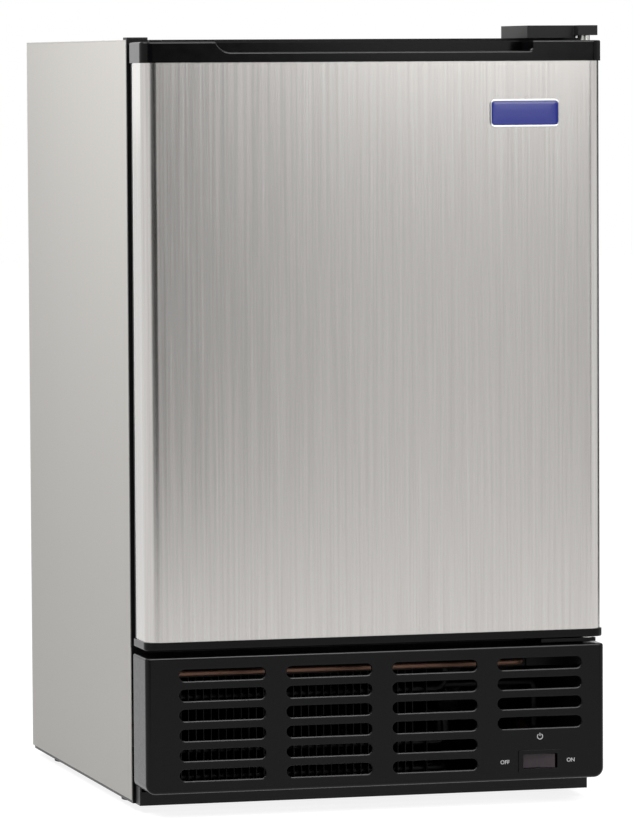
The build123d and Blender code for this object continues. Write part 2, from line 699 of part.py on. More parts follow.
def pocket_tub(grow, z1):
    """Return the finger room of the pocket handle, grown by a wall."""
    half = POCKET_LENGTH / 2 + grow
    return slab(-half, half, POCKET_Y0 - grow, POCKET_Y1 + grow, POCKET_Z0 - grow, z1)


def door_foam():
    foam = door_prism(
        SKIN_X - STEEL, DOOR_FRONT + STEEL, SKIN_BACK, SKIN_Z0, SKIN_Z1, SKIN_CORNER - STEEL
    )
    foam += bulge(-PLASTIC, SKIN_BACK - CUT_OVER, BULGE_BACK - PLASTIC)
    foam -= pocket_tub(PLASTIC, SKIN_Z1 + CUT_OVER)
    foam -= rod_z(BUSH_RADIUS, PIN_X, PIN_Y, SKIN_Z0 - CUT_OVER, DOOR_Z0 + LOWER_BUSH_LENGTH)
    return foam


def door_liner():
    liner = slab(-SKIN_X, SKIN_X, SKIN_BACK, LINER_SHEET_BACK, SKIN_Z0, SKIN_Z1)
    liner += bulge(0.0, SKIN_BACK, BULGE_BACK)
    return liner - bulge(-PLASTIC, SKIN_BACK - CUT_OVER, BULGE_BACK - PLASTIC)


def door_retainer():
    ring = slab(-SKIN_X, SKIN_X, LINER_SHEET_BACK, DOOR_BACK, SKIN_Z0, SKIN_Z1)
    return ring - slab(
        -SKIN_X + RETAINER_WIDTH, SKIN_X - RETAINER_WIDTH, LINER_SHEET_BACK - CUT_OVER, DOOR_BACK + CUT_OVER,
        SKIN_Z0 + RETAINER_WIDTH, SKIN_Z1 - RETAINER_WIDTH,
    )


def door_gasket():
    x = PIN_X
    z0 = SKIN_Z0 + GASKET_FROM_TRIM
    z1 = SKIN_Z1 - GASKET_FROM_TRIM
    ring = slab(-x, x, DOOR_BACK, GASKET_BACK, z0, z1)
    return ring - slab(
        -x + GASKET_WIDTH, x - GASKET_WIDTH, DOOR_BACK - CUT_OVER, GASKET_BACK + CUT_OVER,
        z0 + GASKET_WIDTH, z1 - GASKET_WIDTH,
    )


def pocket_lip_cut():
    """Return the scoop that lowers the pocket's front lip, with its two unlike ends."""
    half = POCKET_LENGTH / 2
    z = DOOR_Z1 - POCKET_LIP_DROP
    cut = slab(-half, half, DOOR_FRONT - CUT_OVER, POCKET_Y0 + CUT_OVER, z, DOOR_Z1 + POCKET_LEFT_RADIUS)
    floor = cut.edges().filter_by(Axis.Y).group_by(Axis.Z)[0].sort_by(Axis.X)
    cut = fillet(floor[0], POCKET_LEFT_RADIUS)
    floor = cut.edges().filter_by(Axis.Y).group_by(Axis.Z)[0].sort_by(Axis.X)
    return fillet(floor[-1], POCKET_RIGHT_RADIUS)


def door_top_trim():
    trim = door_prism(X_OUT, DOOR_FRONT, DOOR_BACK, SKIN_Z1, DOOR_Z1, TRIM_CORNER)
    front_edges = trim.edges().group_by(Axis.Z)[-1].sort_by(Axis.Y)[:-1]
    trim = fillet(front_edges, TRIM_EDGE)
    trim += pocket_tub(PLASTIC, SKIN_Z1)
    trim -= pocket_tub(0.0, DOOR_Z1 + CUT_OVER)
    trim -= pocket_lip_cut()
    trim -= rod_z(BUSH_RADIUS, PIN_X, PIN_Y, SKIN_Z1 - CUT_OVER, DOOR_Z1 + CUT_OVER)
    return trim - rod_z(PIN_RADIUS + PRESS_FIT, PLUG_X, PIN_Y, DOOR_Z1 - PLUG_LENGTH, DOOR_Z1 + CUT_OVER)


def door_bottom_trim():
    trim = door_prism(X_OUT, DOOR_FRONT, DOOR_BACK, DOOR_Z0, SKIN_Z0, TRIM_CORNER)
    front_edges = trim.edges().group_by(Axis.Z)[0].sort_by(Axis.Y)[:-1]
    trim = fillet(front_edges, TRIM_EDGE)
    return trim - rod_z(BUSH_RADIUS, PIN_X, PIN_Y, DOOR_Z0 - CUT_OVER, SKIN_Z0 + CUT_OVER)


def door_bushes():
    upper = rod_z(BUSH_RADIUS, PIN_X, PIN_Y, SKIN_Z1, DOOR_Z1)
    upper -= rod_z(PIN_RADIUS + RUN_FIT, PIN_X, PIN_Y, SKIN_Z1 - CUT_OVER, DOOR_Z1 + CUT_OVER)
    top = DOOR_Z0 + LOWER_BUSH_LENGTH
    lower = rod_z(BUSH_RADIUS, PIN_X, PIN_Y, DOOR_Z0, top)
    lower -= rod_z(PIN_RADIUS + RUN_FIT, PIN_X, PIN_Y, DOOR_Z0 - CUT_OVER, top - PLASTIC)
    return group([upper, lower])


def hinge_hole_plug():
    stem = rod_z(PIN_RADIUS, PLUG_X, PIN_Y, DOOR_Z1 - PLUG_LENGTH, DOOR_Z1)
    return stem + rod_z(PLUG_HEAD_RADIUS, PLUG_X, PIN_Y, DOOR_Z1, DOOR_Z1 + PLUG_HEAD)


def badge():
    x1 = X_OUT - BADGE_FROM_EDGE + BADGE_LENGTH / 2
    z1 = SKIN_Z1 - BADGE_BELOW_TRIM + BADGE_HEIGHT / 2
    return round_prism(x1 - BADGE_LENGTH, x1, z1 - BADGE_HEIGHT, z1, Y_FRONT, DOOR_FRONT, BADGE_RADIUS)


# Hinges


BRACKET_Z0 = CABINET_HEIGHT + BRACKET_JOGGLE
BRACKET_Z1 = BRACKET_Z0 + BRACKET_STEEL
BRACKET_X1 = PIN_X + PIN_RIM
BRACKET_X0 = BRACKET_X1 - BRACKET_LENGTH


def upper_hinge_bracket():
    bracket = slab(BRACKET_X0, BRACKET_X1, CAB_FRONT, CAB_FRONT + BRACKET_REACH, CABINET_HEIGHT, BRACKET_Z1)
    bracket += slab(PIN_X - PIN_RIM, BRACKET_X1, PIN_Y - PIN_RIM, CAB_FRONT, BRACKET_Z0, BRACKET_Z1)
    bracket -= rod_z(PIN_RADIUS + PRESS_FIT, PIN_X, PIN_Y, BRACKET_Z0 - CUT_OVER, BRACKET_Z1 + CUT_OVER)
    for x, y in upper_screw_places():
        bracket -= rod_z(SCREW_RADIUS + RUN_FIT, x, y, CABINET_HEIGHT - CUT_OVER, BRACKET_Z1 + CUT_OVER)
    return bracket


def hinge_cover():
    wall = HINGE_COVER_WALL
    room = HINGE_COVER_GAP + wall
    z1 = BRACKET_Z1 + SCREW_HEAD_HEIGHT + HINGE_COVER_HEADROOM + wall
    x0 = BRACKET_X0 - room
    x1 = BRACKET_X1 + room
    y1 = CAB_FRONT + BRACKET_REACH + room
    nose_y = PIN_Y - PIN_RIM - room
    nose_x = PIN_X - PIN_RIM - room
    main_y = nose_y + HINGE_COVER_NOSE
    low = CABINET_HEIGHT
    main = slab(x0, x1, CAB_FRONT, y1, low, z1) + slab(x0, nose_x + wall, main_y, CAB_FRONT, low, z1)
    nose = slab(nose_x, x1, nose_y, CAB_FRONT, BRACKET_Z0, z1)
    cover = fillet((main + nose).edges().filter_by(Axis.Z), wall / 2)
    ceiling = z1 - wall
    cover -= slab(x0 + wall, x1 - wall, CAB_FRONT, y1 - wall, low - CUT_OVER, ceiling)
    cover -= slab(nose_x + wall, x1 - wall, nose_y + wall, CAB_FRONT + CUT_OVER, low - CUT_OVER, ceiling)
    return cover - slab(x0 + wall, nose_x, main_y + wall, CAB_FRONT + CUT_OVER, low - CUT_OVER, ceiling)


def lower_hinge_bracket():
    x1 = PIN_X + PIN_RIM
    x0 = x1 - LOWER_BRACKET_LENGTH
    flange_y = CAB_FRONT - BRACKET_STEEL
    bracket = slab(x0, x1, flange_y, CAB_FRONT, DECK_Z0 - DECK_RAIL, DECK_Z0)
    bracket += slab(x0, x1, PIN_Y - PIN_RIM, CAB_FRONT, LOWER_PLATE_Z0, LOWER_PLATE_Z1)
    bracket -= rod_z(PIN_RADIUS + PRESS_FIT, PIN_X, PIN_Y, LOWER_PLATE_Z0 - CUT_OVER, DECK_Z0 + CUT_OVER)
    for x, z in lower_screw_places():
        bracket -= rod_y(SCREW_RADIUS + RUN_FIT, x, flange_y - CUT_OVER, CAB_FRONT + CUT_OVER, z)
    return bracket


def hinge_pins():
    """Return the plain upper pin and the lower pin with the collar that the door rides on."""
    upper = rod_z(PIN_RADIUS, PIN_X, PIN_Y, SKIN_Z1, BRACKET_Z1)
    lower = rod_z(PIN_RADIUS, PIN_X, PIN_Y, LOWER_PLATE_Z0, DOOR_Z0 + LOWER_BUSH_LENGTH - 2 * PLASTIC)
    lower += rod_z(COLLAR_RADIUS, PIN_X, PIN_Y, LOWER_PLATE_Z1, LOWER_PLATE_Z1 + COLLAR_HEIGHT)
    return group([upper, lower])


def screws():
    """Return every screw of the hinges and the rear cover."""
    solids = []
    for x, y in upper_screw_places():
        shank = rod_z(SCREW_RADIUS, x, y, BRACKET_Z1 - SCREW_GRIP, BRACKET_Z1)
        solids.append(shank + rod_z(SCREW_HEAD_RADIUS, x, y, BRACKET_Z1, BRACKET_Z1 + SCREW_HEAD_HEIGHT))
    face = CAB_FRONT - BRACKET_STEEL
    for x, z in lower_screw_places():
        shank = rod_y(SCREW_RADIUS, x, face, face + SCREW_GRIP, z)
        solids.append(shank + rod_y(SCREW_HEAD_RADIUS, x, face - SCREW_HEAD_HEIGHT, face, z))
    for x, z in cover_screw_places():
        shank = rod_y(SCREW_RADIUS, x, COVER_OUT - SCREW_GRIP, COVER_OUT, z)
        solids.append(shank + rod_y(SCREW_HEAD_RADIUS, x, COVER_OUT, COVER_OUT + SCREW_HEAD_HEIGHT, z))
    return group(solids)


def hinge_blank_plate():
    x0 = -X_OUT + STEEL
    y1 = CAB_FRONT + BLANK_PLATE_DEPTH
    z1 = CABINET_HEIGHT + BLANK_PLATE_HEIGHT
    return slab(x0, x0 + BLANK_PLATE_WIDTH, CAB_FRONT, y1, CABINET_HEIGHT, z1)


# Kick plate and switch


SLOT_BAND = CABINET_WIDTH - SLOT_FROM_LEFT - SLOT_FROM_RIGHT
SLOT_LENGTH = (SLOT_BAND - SLOT_BRIDGE * (SLOT_COLUMNS - 1)) / SLOT_COLUMNS
SLOT_ROW_PITCH = (KICK_HEIGHT - SLOT_BELOW_TOP - SLOT_ABOVE_BOTTOM) / (SLOT_ROWS - 1)
SWITCH_X = X_OUT - SLOT_FROM_RIGHT - SLOT_LENGTH / 2
SWITCH_Z = KICK_Z0 + SWITCH_FROM_BOTTOM
SWITCH_BODY_X = SWITCH_LENGTH / 2 - SWITCH_RIM_X
SWITCH_BODY_Z = SWITCH_HEIGHT / 2 - SWITCH_RIM_Z
SWITCH_HOLE_X = SWITCH_BODY_X - SWITCH_WALL
SWITCH_HOLE_Z = SWITCH_BODY_Z - SWITCH_WALL
ROCKER_Y = KICK_FRONT + ROCKER_PIVOT_BACK
ROCKER_BACK = ROCKER_BODY + ROCKER_FRONT


def kick_slots():
    """Return the cuts for the air slots, with fewer rows above the switch."""
    cuts = []
    for column in range(SLOT_COLUMNS):
        x = -X_OUT + SLOT_FROM_LEFT + SLOT_LENGTH / 2 + (SLOT_LENGTH + SLOT_BRIDGE) * column
        rows = SLOT_ROWS_OVER_SWITCH if column == SLOT_COLUMNS - 1 else SLOT_ROWS
        for row in range(rows):
            z = KICK_Z1 - SLOT_BELOW_TOP - SLOT_ROW_PITCH * row
            cut = extrude(SlotOverall(SLOT_LENGTH, SLOT_HEIGHT), KICK_WALL + CUT_OVER, both=True)
            cuts.append(Pos(x, KICK_FRONT, z) * Rot(90, 0, 0) * cut)
    return cuts


def kick_plate():
    plate = slab(-X_OUT, X_OUT, KICK_FRONT, KICK_BACK, KICK_Z0, KICK_Z1)
    plate = fillet(plate.edges().filter_by(Axis.Y).group_by(Axis.Z)[0], KICK_BOTTOM_CORNER)
    uprights = plate.edges().filter_by(Axis.Z).group_by(Axis.Y)[0]
    plate = fillet(uprights, KICK_EDGE)
    top_edges = plate.edges().group_by(Axis.Z)[-1].sort_by(Axis.Y)[:-1]
    plate = fillet(top_edges, KICK_TOP_EDGE)
    inner = X_OUT - KICK_WALL
    y0 = KICK_FRONT + KICK_WALL
    plate -= slab(-inner, inner, y0, KICK_BACK + CUT_OVER, KICK_Z0 + KICK_WALL, KICK_Z1 - KICK_WALL)
    lip_y = KICK_FRONT + KICK_BOTTOM_LIP
    plate -= slab(-inner, inner, lip_y, KICK_BACK + CUT_OVER, KICK_Z0 - CUT_OVER, SWITCH_Z)
    for cut in kick_slots():
        plate -= cut
    hole_x = SWITCH_BODY_X + LOOSE_FIT
    hole_z = SWITCH_BODY_Z + LOOSE_FIT
    return plate - slab(
        SWITCH_X - hole_x, SWITCH_X + hole_x, KICK_FRONT - CUT_OVER, y0 + CUT_OVER,
        SWITCH_Z - hole_z, SWITCH_Z + hole_z,
    )


def switch_body():
    face = KICK_FRONT - SWITCH_BEZEL
    back = KICK_FRONT + SWITCH_BODY_DEPTH
    half_x = SWITCH_LENGTH / 2
    half_z = SWITCH_HEIGHT / 2
    body = round_prism(
        SWITCH_X - half_x, SWITCH_X + half_x, SWITCH_Z - half_z, SWITCH_Z + half_z,
        face, KICK_FRONT, SWITCH_RIM_X,
    )
    body += slab(
        SWITCH_X - SWITCH_BODY_X, SWITCH_X + SWITCH_BODY_X, KICK_FRONT, back,
        SWITCH_Z - SWITCH_BODY_Z, SWITCH_Z + SWITCH_BODY_Z,
    )
    body -= slab(
        SWITCH_X - SWITCH_HOLE_X, SWITCH_X + SWITCH_HOLE_X, face - CUT_OVER, ROCKER_Y + ROCKER_BACK,
        SWITCH_Z - SWITCH_HOLE_Z, SWITCH_Z + SWITCH_HOLE_Z,
    )
    body -= rod_z(
        TRUNNION_RADIUS + RUN_FIT, SWITCH_X, ROCKER_Y,
        SWITCH_Z - SWITCH_BODY_Z - CUT_OVER, SWITCH_Z + SWITCH_BODY_Z + CUT_OVER,
    )
    for side in (-1, 1):
        x = SWITCH_X + side * SWITCH_HOLE_X / 2
        half = TERMINAL_THICK / 2
        wide = TERMINAL_WIDTH / 2
        body += slab(x - half, x + half, back, back + TERMINAL_LENGTH, SWITCH_Z - wide, SWITCH_Z + wide)
    return body


def rocker():
    half = SWITCH_HOLE_X - 2 * ROCKER_GAP - ROCKER_DIP / 4
    high = SWITCH_HOLE_Z - ROCKER_GAP
    outline = Polyline(
        (-half, -ROCKER_FRONT), (0.0, -ROCKER_FRONT + ROCKER_DIP), (half, -ROCKER_FRONT),
        (half, 0.0), (half / 2, ROCKER_BODY), (-half / 2, ROCKER_BODY), (-half, 0.0), (-half, -ROCKER_FRONT),
    )
    key = extrude(make_face(outline), high, both=True)
    key += rod_z(TRUNNION_RADIUS, 0.0, 0.0, -SWITCH_BODY_Z, SWITCH_BODY_Z)
    return Pos(SWITCH_X, ROCKER_Y, SWITCH_Z) * Rot(0, 0, -ROCKER_TILT) * key


# Ice module


HEAD_Y0 = MOULD_Y0 - HEAD_LENGTH
HEAD_X0 = AXIS_X - HEAD_HALF
HEAD_X1 = AXIS_X + HEAD_HALF
HEAD_Z1 = AXIS_Z + HEAD_HALF
GEAR_Y1 = MOULD_Y0 - PLASTIC - GEAR_FROM_WALL
GEAR_Y0 = GEAR_Y1 - GEAR_WIDTH
GEAR_CENTRES = GEAR_MODULE * (GEAR_TEETH + PINION_TEETH) / 2
PINION_Z = AXIS_Z - GEAR_CENTRES
HEAD_Z0 = PINION_Z - MOTOR_RADIUS - HEAD_ROOM - PLASTIC
MOTOR_Y1 = GEAR_Y0 - MOTOR_GAP - PINION_OVER
ARM_X = AXIS_X + MODULE_HALF + ARM_OUT
ARM_Z = AXIS_Z - ARM_BELOW_AXIS
BIN_Z1 = ARM_Z - ARM_DROP + BIN_OVER_ARM
ARM_FRONT = MOULD_Y0
ARM_REAR = MOULD_Y1 - ARM_BOSS_LENGTH


def pocket_middles():
    """Return the Y of the middle of each mould pocket."""
    pitch = MOULD_POCKET_LENGTH + MOULD_DIVIDER
    first = MOULD_Y0 + MOULD_DIVIDER + MOULD_POCKET_LENGTH / 2
    return [first + pitch * count for count in range(MOULD_POCKETS)]


def arm_boss(x0, y0, y1):
    """Return a lug beside the module with the arm's pivot bore."""
    half = ARM_BOSS / 2
    lug = slab(x0, ARM_X + half, y0, y1, ARM_Z - half, ARM_Z + half)
    return lug - rod_y(ARM_RADIUS + RUN_FIT, ARM_X, y0 - CUT_OVER, y1 + CUT_OVER, ARM_Z)


def lug_places():
    """Return the Y of the start of the two lugs that hold the mould to the wall."""
    return (MOULD_Y0 + LUG_LENGTH, MOULD_Y1 - 2 * LUG_LENGTH)


def ice_mould():
    floor = AXIS_Z - MOULD_POCKET_RADIUS - MOULD_FLOOR
    mould = slab(MOULD_X0, MOULD_X1, MOULD_Y0, MOULD_Y1, floor, AXIS_Z)
    rear_wall = MOULD_Y1 - MOULD_DIVIDER
    mould += slab(
        AXIS_X - MOULD_EAR_HALF, AXIS_X + MOULD_EAR_HALF, rear_wall, MOULD_Y1,
        AXIS_Z, AXIS_Z + MOULD_EAR_HEIGHT,
    )
    half = MOULD_POCKET_LENGTH / 2
    for y in pocket_middles():
        mould -= rod_y(MOULD_POCKET_RADIUS, AXIS_X, y - half, y + half, AXIS_Z)
    mould -= rod_y(MOULD_NOTCH_RADIUS, AXIS_X, MOULD_Y0 - CUT_OVER, rear_wall, AXIS_Z)
    mould -= rod_y(SHAFT_RADIUS + RUN_FIT, AXIS_X, rear_wall - CUT_OVER, MOULD_Y1 + CUT_OVER, AXIS_Z)
    mould -= slab(
        CUP_X - CUP_NOTCH_WIDTH / 2, CUP_X + CUP_NOTCH_WIDTH / 2, rear_wall - CUT_OVER, MOULD_Y1 + CUT_OVER,
        AXIS_Z - CUP_NOTCH_DEPTH, AXIS_Z + CUT_OVER,
    )
    for y in lug_places():
        mould += slab(-CAV_X, MOULD_X0, y, y + LUG_LENGTH, AXIS_Z - LUG_HEIGHT, AXIS_Z)
    return mould + arm_boss(MOULD_X1, ARM_REAR, MOULD_Y1)


def module_head():
    head = slab(HEAD_X0, HEAD_X1, HEAD_Y0, MOULD_Y0, HEAD_Z0, HEAD_Z1)
    head -= slab(
        HEAD_X0 + PLASTIC, HEAD_X1 - PLASTIC, HEAD_Y0 - CUT_OVER, MOULD_Y0 - PLASTIC,
        HEAD_Z0 + PLASTIC, HEAD_Z1 - PLASTIC,
    )
    head -= rod_y(SHAFT_RADIUS + RUN_FIT, AXIS_X, MOULD_Y0 - PLASTIC - CUT_OVER, MOULD_Y0 + CUT_OVER, AXIS_Z)
    return head + arm_boss(HEAD_X1, ARM_FRONT - ARM_BOSS_LENGTH, ARM_FRONT)


def module_cover():
    return slab(HEAD_X0, HEAD_X1, HEAD_Y0 - PLASTIC, HEAD_Y0, HEAD_Z0, HEAD_Z1)


def gear_face(teeth):
    """Return a spur gear's outline as a face, with involute flanks and room for backlash."""
    pitch_radius = GEAR_MODULE * teeth / 2
    pressure = radians(20.0)
    base = pitch_radius * cos(pressure)
    tip = pitch_radius + GEAR_ADDENDUM * GEAR_MODULE
    root = pitch_radius - GEAR_DEDENDUM * GEAR_MODULE
    start = max(base, root)
    half_pitch = pi / (2 * teeth) - GEAR_BACKLASH / (2 * pitch_radius) + tan(pressure) - pressure
    flank = []
    for step in range(5):
        radius = start + (tip - start) * step / 4
        roll = acos(min(1.0, base / radius))
        flank.append((radius, half_pitch - (tan(roll) - roll)))
    if root < base:
        flank.insert(0, (root, flank[0][1]))
    points = []
    for tooth in range(teeth):
        middle = 2 * pi * tooth / teeth
        for radius, half in flank:
            points.append((radius * cos(middle - half), radius * sin(middle - half)))
        for radius, half in reversed(flank):
            points.append((radius * cos(middle + half), radius * sin(middle + half)))
    return make_face(Polyline(*points, close=True))


def drive_gear():
    gear = Pos(AXIS_X, GEAR_Y1, AXIS_Z) * Rot(90, 0, 0) * extrude(gear_face(GEAR_TEETH), GEAR_WIDTH)
    return gear - rod_y(SHAFT_RADIUS + PRESS_FIT, AXIS_X, GEAR_Y0 - CUT_OVER, GEAR_Y1 + CUT_OVER, AXIS_Z)


def motor_pinion():
    y1 = GEAR_Y1 + PINION_OVER
    length = GEAR_WIDTH + 2 * PINION_OVER
    half_tooth = 180.0 / PINION_TEETH
    face = Rot(0, 0, half_tooth) * gear_face(PINION_TEETH)
    pinion = Pos(AXIS_X, y1, PINION_Z) * Rot(90, 0, 0) * extrude(face, length)
    return pinion + rod_y(MOTOR_SHAFT_RADIUS, AXIS_X, MOTOR_Y1 - MOTOR_SHAFT_HOLD, y1, PINION_Z)


def gear_motor():
    motor = rod_y(MOTOR_RADIUS, AXIS_X, HEAD_Y0, MOTOR_Y1, PINION_Z)
    bore_y = MOTOR_Y1 - MOTOR_SHAFT_HOLD - CUT_OVER
    return motor - rod_y(MOTOR_SHAFT_RADIUS + RUN_FIT, AXIS_X, bore_y, MOTOR_Y1 + CUT_OVER, PINION_Z)


def ejector():
    shaft = rod_y(SHAFT_RADIUS, AXIS_X, GEAR_Y0, MOULD_Y1, AXIS_Z)
    half = BLADE_THICK / 2
    wide = BLADE_WIDTH / 2
    tip = AXIS_Z + MOULD_POCKET_RADIUS - BLADE_GAP
    for y in pocket_middles():
        shaft += slab(AXIS_X - wide, AXIS_X + wide, y - half, y + half, AXIS_Z, tip)
    return shaft


def stripper():
    rim_x = AXIS_X + MOULD_POCKET_RADIUS
    z1 = AXIS_Z + STRIPPER_THICK
    comb = slab(rim_x, MOULD_X1 + STRIPPER_OVERHANG, MOULD_Y0, MOULD_Y1, AXIS_Z, z1)
    tip_x = AXIS_X + SHAFT_RADIUS + STRIPPER_SHAFT_GAP
    pitch = MOULD_POCKET_LENGTH + MOULD_DIVIDER
    half = pitch / 2 - BLADE_THICK / 2 - STRIPPER_BLADE_GAP
    for count in range(MOULD_POCKETS - 1):
        y = pocket_middles()[count] + pitch / 2
        comb += slab(tip_x, rim_x, y - half, y + half, AXIS_Z, z1)
    return comb


def shut_off_arm():
    leg_y0 = ARM_FRONT + ARM_LEG_GAP
    leg_y1 = ARM_REAR - ARM_LEG_GAP
    points = [
        (ARM_X, ARM_FRONT - ARM_BOSS_LENGTH, ARM_Z),
        (ARM_X, leg_y0, ARM_Z),
        (ARM_X, leg_y0, ARM_Z - ARM_DROP),
        (ARM_X, leg_y1, ARM_Z - ARM_DROP),
        (ARM_X, leg_y1, ARM_Z),
        (ARM_X, MOULD_Y1, ARM_Z),
    ]
    return pipe(points, ARM_RADIUS, ARM_BEND - ARM_RADIUS)


def fill_cup():
    half = CUP_WIDTH / 2
    y1 = MOULD_Y1 + CUP_LENGTH
    z0 = AXIS_Z - CUP_BELOW_TOP
    cup = slab(CUP_X - half, CUP_X + half, MOULD_Y1, y1, z0, CUP_Z1)
    inside = half - CUP_WALL
    cup -= slab(
        CUP_X - inside, CUP_X + inside, MOULD_Y1 + CUP_WALL, y1 - CUP_WALL, z0 + CUP_WALL, CUP_Z1 + CUT_OVER
    )
    notch = CUP_NOTCH_WIDTH / 2
    return cup - slab(
        CUP_X - notch, CUP_X + notch, MOULD_Y1 - CUT_OVER, MOULD_Y1 + CUP_WALL + CUT_OVER,
        AXIS_Z - CUP_NOTCH_DEPTH, AXIS_Z,
    )


def fill_tube():
    return pipe(FILL_TUBE_ROUTE, TUBE_RADIUS, TUBE_BEND)


def ice_bin():
    x = CAV_X - BIN_SIDE_GAP
    y0 = CAB_FRONT + BIN_FRONT_GAP
    y1 = CAV_Y1 - BIN_BACK_GAP
    room = slab(-x, x, y0, y1, CAV_Z0, BIN_Z1)
    tub = fillet(room.edges().filter_by(Axis.Z), CAVITY_RADIUS)
    hollow = slab(
        -x + BIN_WALL, x - BIN_WALL, y0 + BIN_WALL, y1 - BIN_WALL, CAV_Z0 + BIN_WALL, BIN_Z1 + CUT_OVER
    )
    tub -= fillet(hollow.edges().filter_by(Axis.Z), CAVITY_RADIUS - BIN_WALL)
    grip_z = BIN_Z1 - BIN_GRIP_BELOW - BIN_GRIP_HEIGHT / 2
    grip = extrude(SlotOverall(BIN_GRIP_LENGTH, BIN_GRIP_HEIGHT), BIN_WALL + CUT_OVER, both=True)
    return tub - Pos(0, y0, grip_z) * Rot(90, 0, 0) * grip


# Refrigeration, water and electrics


def evaporator_plate():
    plate = slab(EVAPORATOR_X0, EVAPORATOR_X1, EVAPORATOR_Y0, EVAPORATOR_Y1, EVAPORATOR_Z0, EVAPORATOR_Z1)
    left = EVAPORATOR_X0 + EVAPORATOR_MARGIN
    right = EVAPORATOR_X1 - EVAPORATOR_MARGIN
    pitch = (EVAPORATOR_HEIGHT - 2 * EVAPORATOR_MARGIN) / (EVAPORATOR_RUNS - 1)
    points = []
    for run in range(EVAPORATOR_RUNS):
        z = EVAPORATOR_Z1 - EVAPORATOR_MARGIN - pitch * run
        ends = (left, right) if run % 2 == 0 else (right, left)
        points += [(x, EVAPORATOR_Y0, z) for x in ends]
    plate += pipe(points, EVAPORATOR_TUBE, pitch / 3)
    for x in (left, right):
        for z in (EVAPORATOR_Z0 + EVAPORATOR_MARGIN / 2, EVAPORATOR_Z1 - EVAPORATOR_MARGIN / 2):
            plate += rod_y(STANDOFF_RADIUS, x, EVAPORATOR_Y1, CAV_Y1, z)
    behind = slab(
        EVAPORATOR_X0, EVAPORATOR_X1, EVAPORATOR_Y1, EVAPORATOR_Y1 + EVAPORATOR_TUBE,
        EVAPORATOR_Z0 + EVAPORATOR_MARGIN, EVAPORATOR_Z1 - EVAPORATOR_MARGIN,
    )
    return plate - behind


def compressor():
    shell = rod_z(COMPRESSOR_RADIUS, COMPRESSOR_X, COMPRESSOR_Y, SHELL_Z0, DECK_Z0 - COMPRESSOR_HEADROOM)
    shell = fillet(shell.edges().filter_by(GeomType.CIRCLE), COMPRESSOR_ROUND)
    half_x = COMPRESSOR_PLATE_X / 2
    half_y = COMPRESSOR_PLATE_Y / 2
    plate = slab(
        COMPRESSOR_X - half_x, COMPRESSOR_X + half_x, COMPRESSOR_Y - half_y, COMPRESSOR_Y + half_y,
        PLATE_Z0, SHELL_Z0,
    )
    suction = rod_y(STUB_RADIUS, SUCTION_X, COMPRESSOR_Y, SUCTION_STUB_Y, STUB_Z)
    discharge = rod_y(STUB_RADIUS, COMPRESSOR_X, DISCHARGE_FRONT, COMPRESSOR_Y, STUB_Z)
    return shell + plate + suction + discharge


def compressor_grommets():
    grommets = []
    for side_x in (-1, 1):
        for side_y in (-1, 1):
            x = COMPRESSOR_X + side_x * (COMPRESSOR_PLATE_X / 2 - GROMMET_INSET)
            y = COMPRESSOR_Y + side_y * (COMPRESSOR_PLATE_Y / 2 - GROMMET_INSET)
            grommets.append(rod_z(GROMMET_RADIUS, x, y, PAN_TOP, PLATE_Z0))
    return group(grommets)


def relay_box():
    outer = COMPRESSOR_X - COMPRESSOR_RADIUS - RELAY_DEPTH
    half = RELAY_LENGTH / 2
    z0 = PLATE_Z0 + RELAY_LIFT
    z1 = z0 + RELAY_HEIGHT
    box = slab(outer, COMPRESSOR_X, COMPRESSOR_Y - half, COMPRESSOR_Y + half, z0, z1)
    seat = rod_z(COMPRESSOR_RADIUS + PRESS_FIT, COMPRESSOR_X, COMPRESSOR_Y, z0 - CUT_OVER, z1 + CUT_OVER)
    return box - seat


def coil_route():
    """Return the condenser coil's corners, down the front column and up the rear one short of its top."""
    passes = [(COIL_Y0, row) for row in range(COIL_ROWS)]
    passes += [(COIL_Y1, row) for row in range(COIL_ROWS - 1, 0, -1)]
    points = []
    for count, (y, row) in enumerate(passes):
        ends = (COIL_X0, COIL_X1) if count % 2 == 0 else (COIL_X1, COIL_X0)
        points += [(x, y, COIL_Z - COIL_ROW_PITCH * row) for x in ends]
    points[0] = (COIL_START_X, COIL_Y0, COIL_Z)
    return points


def condenser_coil():
    """Return the coil and its tail to the drier, in one tube."""
    route = coil_route()
    end_z = route[-1][2]
    tail = [route[-1], (DRIER_X, COIL_Y1, end_z), (DRIER_X, COIL_Y1, DRIER_Z), (DRIER_X, DRIER_Y0, DRIER_Z)]
    return pipe(route, COIL_RADIUS, COIL_BEND) + pipe(tail, COIL_RADIUS, SMALL_BEND)


def condenser_fins():
    z0 = PAN_TOP + CONDENSER_LIFT
    holes = []
    for y in (COIL_Y0, COIL_Y1):
        for row in range(COIL_ROWS):
            z = COIL_Z - COIL_ROW_PITCH * row
            holes.append(rod_x(COIL_RADIUS + RUN_FIT, -CUT_OVER, FIN_THICK + CUT_OVER, y, z))
    fin = slab(0.0, FIN_THICK, CONDENSER_Y0, CONDENSER_Y1, z0, CONDENSER_Z1) - holes
    end = slab(0.0, FIN_THICK, CONDENSER_Y0, CONDENSER_Y1, PAN_TOP, CONDENSER_Z1) - holes
    count = int((CONDENSER_X1 - CONDENSER_X0 - FIN_THICK) / FIN_PITCH)
    plates = [Pos(CONDENSER_X0, 0, 0) * end, Pos(CONDENSER_X1 - FIN_THICK, 0, 0) * end]
    for step in range(1, count):
        plates.append(Pos(CONDENSER_X0 + FIN_PITCH * step, 0, 0) * fin)
    return group(plates)


